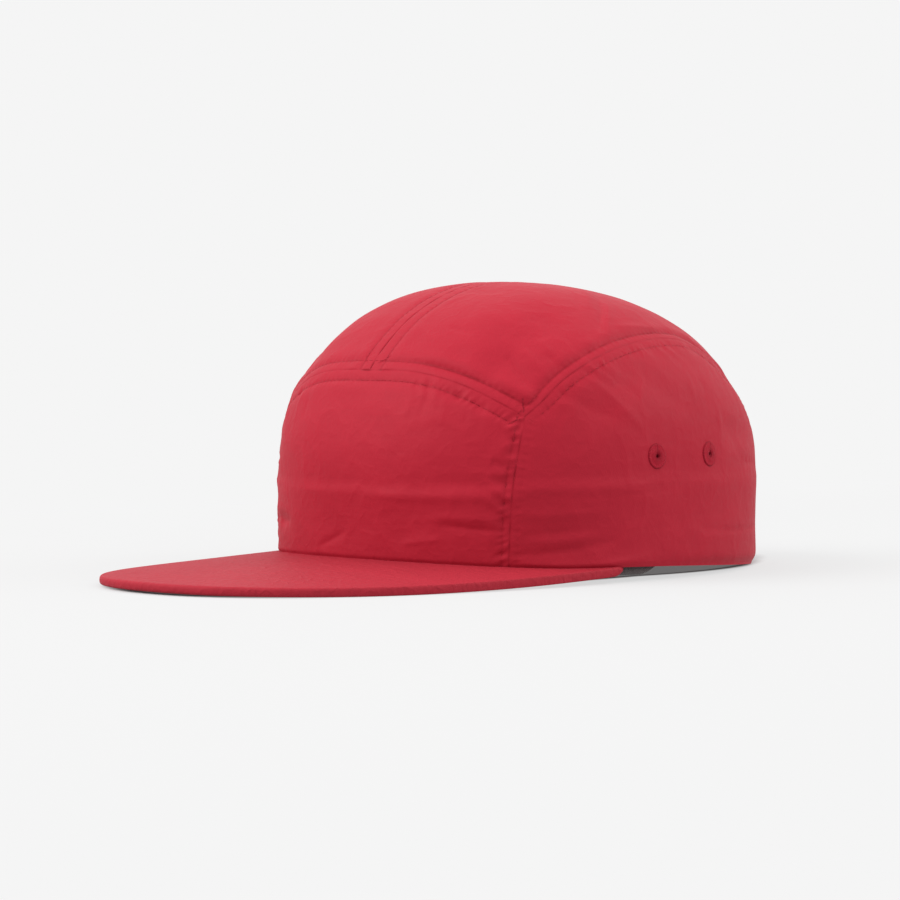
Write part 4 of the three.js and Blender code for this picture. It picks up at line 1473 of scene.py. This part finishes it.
@dataclass
class BackStrap:
    """The webbing across the back opening and the slider that joins it."""

    crown: Crown
    width: float = 18.0
    thickness: float = 1.4
    foot: float = 3.6
    gap: float = 0.3
    sewn: float = 13.0
    tail: float = 24.0
    back: float = 11.0
    slider_length: float = 27.0
    slider_height: float = 24.0
    slider_thickness: float = 2.4
    bar: float = 3.0
    corner: float = 3.0
    soft_edge: float = 0.45
    step: float = 0.6
    rows: int = 15

    @property
    def slot(self) -> float:
        """The width of each of the slider's two slots."""
        return (self.slider_length - 3 * self.bar) / 2

    @property
    def beside_bar(self) -> float:
        """From a bar's middle to the middle of the webbing that lies on it."""
        return self.slider_thickness / 2 + self.gap + self.thickness / 2

    @property
    def end_bar(self) -> float:
        """From the slider's middle to the middle of an end bar."""
        return self.slider_length / 2 - self.bar / 2

    @property
    def slider_y(self) -> float:
        """Where the slider stands, along the cap."""
        return float(self.line(self.end_bar)[1])

    def line(self, x: float, deeper: float = 0.0) -> Points:
        """A point in plan on the strap's middle line, against the inside of the crown."""
        form = self.crown.form
        wall = form.at(abs(x), self.foot + self.width / 2, 1)
        normal = form.normal(wall[None])[0]
        out = np.array([normal[0] * np.sign(x), normal[1]])
        out /= np.linalg.norm(out)
        depth = self.crown.cloth_thickness + self.gap + self.thickness / 2 + deeper
        return np.array([x, wall[1]]) - out * depth

    def at_slider(self, x: float, out: float) -> Points:
        """A point in plan beside the slider's middle."""
        return np.array([x, self.slider_y + out])

    def webbing(self, name: str, plan: list[Points], material: bpy.types.Material) -> bpy.types.Object:
        """Webbing on edge along a line in plan.

        Args:
            name: the CAD node that it replaces.
            plan: points of its middle line.
            material: its finish.

        Returns:
            The object.
        """
        line = even(uniform(np.array(plan)), self.step)
        up = np.linspace(0, 1, self.rows)
        thin = 1 - 0.25 * np.abs(2 * up - 1) ** 8
        way = np.gradient(line, axis=0)
        side = np.stack([-way[:, 1], way[:, 0]], -1) / np.linalg.norm(way, axis=1)[:, None]
        places, uv, outward = [], [], []
        for face, order in ((1, slice(None)), (-1, slice(None, None, -1))):
            for share, thick in zip(up[order], thin[order]):
                at = line + side * face * thick * self.thickness / 2
                high = np.full(len(line), self.foot + share * self.width)
                places.append(np.column_stack([at, high]))
                uv.append(np.column_stack([lengths(line), high]))
                outward.append(np.column_stack([side * face, np.zeros(len(line))]))
        places.append(places[0])
        uv.append(uv[0])
        outward.append(outward[0])
        form = shaped_grid(np.array(places), np.array(uv), {}, np.array(outward))
        bmesh.ops.remove_doubles(form, verts=form.verts[:], dist=1e-6)
        bmesh.ops.holes_fill(form, edges=[e for e in form.edges if e.is_boundary], sides=0)
        bmesh.ops.recalc_face_normals(form, faces=form.faces[:])
        made = keep(form, f"{name}_webbing", material)
        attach(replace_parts(made, name), "root")
        return made

    def sewn_end(self, side: float) -> list[Points]:
        """The end behind a side panel."""
        x = self.crown.opening_half_width + self.sewn
        return [self.line(side * x * share) for share in (1, 0.85, 0.7, 0.55)]

    def long_strap(self, material: bpy.types.Material) -> bpy.types.Object:
        """The strap that runs over the slider's middle bar, with its free end behind."""
        slot = self.slot
        middle = self.bar / 2 + slot / 2
        beside, deep = self.beside_bar, self.beside_bar + self.thickness + 2 * self.gap
        at = self.at_slider
        return self.webbing("strap_long", [
            *self.sewn_end(1),
            at(self.end_bar + 1, -beside),
            at(middle + slot * 0.2, -beside * 0.8),
            at(middle - slot * 0.2, beside * 0.8),
            at(0, beside),
            at(-middle + slot * 0.32, beside * 0.6),
            at(-middle + slot * 0.12, -beside * 1.3),
            at(-self.end_bar, -deep),
            self.line(-self.end_bar - self.tail * 0.5, deep),
            self.line(-self.end_bar - self.tail, deep),
        ], material)

    def short_strap(self, material: bpy.types.Material) -> bpy.types.Object:
        """The strap that is sewn round the slider's end bar."""
        beside = self.beside_bar
        round_bar = self.bar / 2 + 2 * self.gap + self.thickness / 2
        at = self.at_slider
        return self.webbing("strap_short", [
            *self.sewn_end(-1),
            at(-self.end_bar - self.bar, beside * 0.9),
            at(-self.end_bar, beside),
            at(-self.end_bar + round_bar * 0.75, beside * 0.85),
            at(-self.end_bar + round_bar, 0),
            at(-self.end_bar + round_bar * 0.75, -beside * 0.85),
            at(-self.end_bar, -beside),
            self.line(-self.end_bar - self.back * 0.5, beside),
            self.line(-self.end_bar - self.back, beside),
        ], material)

    def slider(self, material: bpy.types.Material) -> bpy.types.Object:
        """The slider: a plate with two slots, thickened and rounded."""
        slot = self.slot
        high = self.width + 2 * self.gap
        xs = np.cumsum([-self.slider_length / 2, self.bar, slot, self.bar, slot, self.bar])
        zs = np.array([-self.slider_height / 2, -high / 2, high / 2, self.slider_height / 2])
        columns, rows = len(xs) - 1, len(zs) - 1
        form = bmesh.new()
        bmesh.ops.create_grid(form, x_segments=columns, y_segments=rows, size=0.5)
        middles = {f: f.calc_center_median() for f in form.faces}
        bmesh.ops.delete(form, context="FACES_ONLY", geom=[
            f for f, m in middles.items() if abs(m.y) < 0.1 and abs(abs(m.x) - 0.2) < 0.05])
        for vertex in form.verts:
            i, j = round((vertex.co.x + 0.5) * columns), round((vertex.co.y + 0.5) * rows)
            vertex.co = (xs[i], zs[j], 0)
        corners = [v for v in form.verts
                   if abs(v.co.x) > xs[-1] - 0.1 and abs(v.co.y) > zs[-1] - 0.1]
        bmesh.ops.bevel(form, geom=corners, offset=self.corner, offset_type="OFFSET", segments=6, profile=0.5,
                        affect="VERTICES", material=-1)
        thick = bmesh.ops.extrude_face_region(form, geom=form.faces[:])
        raised = [g for g in thick["geom"] if isinstance(g, bmesh.types.BMVert)]
        bmesh.ops.translate(form, verts=raised, vec=(0, 0, self.slider_thickness))
        bmesh.ops.translate(form, verts=form.verts[:], vec=(0, 0, -self.slider_thickness / 2))
        bmesh.ops.recalc_face_normals(form, faces=form.faces[:])
        rims = [e for e in form.edges if len(e.link_faces) == 2 and e.calc_face_angle(0) > 0.9]
        bmesh.ops.bevel(form, geom=rims, offset=self.soft_edge, offset_type="OFFSET", segments=3, profile=0.5,
                        affect="EDGES", material=-1)
        stand = Matrix.Rotation(math.pi / 2, 4, "X")
        middle = np.array([0, self.slider_y, self.foot + self.width / 2])
        place = Matrix.Translation(placed(middle)) @ stand @ Matrix.Diagonal((MM, MM, MM, 1))
        bmesh.ops.transform(form, matrix=place, verts=form.verts[:])
        made = keep(form, "rounded_slider", material)
        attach(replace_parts(made, "slider_buckle"), "root")
        return made


@dataclass
class Studio:
    """A pale floor, soft lights and the photograph's camera."""

    azimuth: float = 46.0
    pitch: float = 2.0177
    distance: float = 1203.004
    focal: float = 3222.11
    picture_width: float = 900.0
    sensor: float = 36.0
    shift: tuple[float, float] = (-19.7269, -6.4316)
    aim: tuple[float, float, float] = (0.0, 31.683, 50.7)
    cap_middle: tuple[float, float, float] = (0.0, 0.04, 0.05)
    pale: float = 0.913
    floor_tone: float = 0.4
    floor_glow: float = 0.7
    cap_widths: tuple[float, ...] = (-0.08, 0.0, 0.08, 0.0625)
    cap_ovals: tuple[tuple[float, float], ...] = ((0.058, 0.094), (0.0102, 0.15))
    glow_under: tuple[float, ...] = (0.92, 0.99, 0.15)
    glow_near: tuple[float, ...] = (0.97, 1.05, 0.0)
    glow_far: tuple[float, ...] = (3.0, 7.0, 0.0)
    sky_high: float = 1.4
    sky_low: float = 1.12
    sky_flag: float = 0.3

    def axes(self) -> tuple[Vector, Vector, Vector]:
        """The camera's right, up and back directions."""
        a, p = math.radians(self.azimuth), math.radians(self.pitch)
        right = Vector((math.cos(a), math.sin(a), 0))
        back = Vector((math.sin(a) * math.cos(p), -math.cos(a) * math.cos(p), math.sin(p)))
        return right, back.cross(right), back

    def camera(self) -> None:
        """Places the camera."""
        right, up, back = self.axes()
        target = Vector(self.aim) + right * self.shift[0] + up * self.shift[1]
        made = bpy.data.objects.new("camera", bpy.data.cameras.new("camera"))
        made.data.sensor_width = self.sensor
        made.data.lens = self.focal / self.picture_width * self.sensor
        made.data.clip_start, made.data.clip_end = 0.05, 50
        turn = Matrix((right, up, back)).transposed().to_4x4()
        made.matrix_world = Matrix.Translation((target + back * self.distance) * MM) @ turn
        bpy.context.scene.collection.objects.link(made)
        bpy.context.scene.camera = made

    def lamp(self, name: str, offset: tuple[float, float, float], size: float, power: float) -> None:
        """A soft light.

        Args:
            name: its name.
            offset: where it hangs from the cap, to the camera's right, up and back, in metres.
            size: its side, in metres.
            power: its power, in watts.
        """
        right, _, back = self.axes()
        level = Vector((back.x, back.y, 0)).normalized()
        middle = Vector(self.cap_middle)
        place = middle + right * offset[0] + Vector((0, 0, offset[1])) + level * offset[2]
        data = bpy.data.lights.new(name, "AREA")
        data.shape, data.size, data.energy = "SQUARE", size, power
        made = bpy.data.objects.new(name, data)
        turn = (middle - place).to_track_quat("-Z", "Y").to_matrix().to_4x4()
        made.matrix_world = Matrix.Translation(place) @ turn
        bpy.context.scene.collection.objects.link(made)

    def floor(self) -> None:
        """A pale floor that glows a little, away from the cap, and fades into the backdrop."""
        form = bmesh.new()
        bmesh.ops.create_grid(form, x_segments=12, y_segments=12, size=14)
        s = Shader("floor")
        x, y, _ = s.parts(s.place())
        across = x / s.ramp(y, *self.cap_widths)
        rings = []
        for middle, half_length in self.cap_ovals:
            ahead = (y - middle) / half_length
            square = across * across + ahead * ahead
            rings.append(square.math("POWER", square, 0.5))
        out = rings[0].math("MINIMUM", *rings)
        under = s.ramp(out, *self.glow_under, 0.0)
        near = s.ramp(out, *self.glow_near, self.floor_glow)
        fade = under + near + s.ramp(out, *self.glow_far, 1.0 - self.floor_glow)
        matt = s.node("ShaderNodeBsdfDiffuse", {}, {"Color": shade((self.floor_tone,) * 3, 1)})
        glow = s.node("ShaderNodeEmission", {}, {"Color": shade((self.pale,) * 3, 1)})
        s.end(s.node("ShaderNodeMixShader", {}, {0: fade, 1: matt.outputs[0], 2: glow.outputs[0]}))
        keep(form, "floor", s.owner)

    def sky(self) -> None:
        """Light from all round: strong from above, weaker from behind the camera."""
        s = Shader("studio", world=True)
        x, y, z = s.parts(s.node("ShaderNodeTexCoord", {}, {}).outputs["Generated"])
        _, _, back = self.axes()
        facing = (x * back.x + y * back.y) * 0.5 + 0.5
        above = z.math("MAXIMUM", z, 0.0) * self.sky_high
        light = above + self.sky_low - facing * facing * self.sky_flag
        seen = s.node("ShaderNodeLightPath", {}, {}).outputs["Is Camera Ray"]
        lit = s.node("ShaderNodeBackground", {}, {"Strength": light})
        plain = s.node("ShaderNodeBackground", {}, {"Color": shade((self.pale,) * 3, 1)})
        s.end(s.node("ShaderNodeMixShader", {}, {0: seen, 1: lit.outputs[0], 2: plain.outputs[0]}))
        bpy.context.scene.world = s.owner

    def build(self) -> None:
        """Sets everything up."""
        bpy.context.scene.view_settings.view_transform = "Standard"
        self.sky()
        self.camera()
        self.floor()
        self.lamp("key_light", (-2.0, 1.6, 0.6), 1.8, 66)
        self.lamp("side_light", (1.4, 0.75, -0.15), 0.9, 11)
        self.lamp("fill_light", (1.0, 0.55, 1.1), 0.9, 2.5)


def main() -> None:
    """Builds the cap and its studio."""
    logging.basicConfig(level=logging.INFO, format="%(name)s: %(message)s")
    Studio().build()
    crown = Crown()
    cloth, thread = CrownCloth().material(), Thread().material()
    eyelet_thread, webbing = EyeletThread().material(), Webbing().material()
    front_hems = {"front": FRONT_TOP, "left": FRONT_CORNER, "right": FRONT_CORNER}
    front = Panel("front_panel", crown, crown.front_rim, crown.whole_front, mirrored(crown.corner_line),
                  crown.corner_line, front_hems)
    LOG.info("made %s", front.build(cloth).name)
    sewing = SeamStitching(crown)
    top_hems, flank_hems = {}, {}
    for side in Side:
        word = side.name.lower()
        turn = mirrored if side is Side.RIGHT else np.array
        top_hems[side] = {"front": TOP_FRONT, "middle": QUIET, word: CLEAN, "opening": QUIET}
        top = Panel(f"top_panel_{word}", crown, turn(crown.middle_line), turn(crown.arch_line),
                    turn(crown.front_line), turn(crown.opening_top), top_hems[side])
        LOG.info("made %s", top.build(cloth).name)
        flank_hems[side] = {word: FLANK, "opening": QUIET}
        flank = Panel(f"side_panel_{word}", crown, turn(crown.side_rim), turn(crown.arch_line),
                      turn(crown.corner_line), turn(crown.opening_side), flank_hems[side])
        middles = crown.eyelets(side)
        LOG.info("made %s", flank.build(cloth, middles).name)
        on_cloth = crown.cloth(middles, flank_hems[side])
        normals = crown.form.normal(middles)
        for i in range(2):
            eyelet = Eyelet(f"eyelet_{word}_{i + 1}", on_cloth[i], normals[i])
            LOG.info("made %s", eyelet.build(eyelet_thread).name)
    tops = {float(side.value): top_hems[side] for side in Side}
    flanks = {-float(side.value): flank_hems[side] for side in Side}
    for name, sides, clear in (
        ("front", {1.0: top_hems[Side.LEFT], -1.0: front_hems}, ("left", "right")),
        ("middle", tops, ("front", "opening")),
        ("left", {1.0: tops[1.0], -1.0: flanks[-1.0]}, ("opening",)),
        ("right", {-1.0: tops[-1.0], 1.0: flanks[1.0]}, ("opening",)),
        ("opening", {1.0: flank_hems[Side.LEFT] | flank_hems[Side.RIGHT]}, ("left", "right", "middle")),
    ):
        rows = sewing.rows(name, sides, clear)
        LOG.info("made %s of %d stitches", rows.build(thread).name, rows.count)
    band, band_cloth, strap = Sweatband(crown), BandCloth().material(), BackStrap(crown)
    for build, finish in (
        (Peak(crown).build, PeakCloth().material()), (band.build, band_cloth),
        (band.sew, band_cloth), (strap.long_strap, webbing), (strap.short_strap, webbing),
        (strap.slider, Moulded().material()),
    ):
        LOG.info("made %s", build(finish).name)


if __name__ == "__main__":
    main()
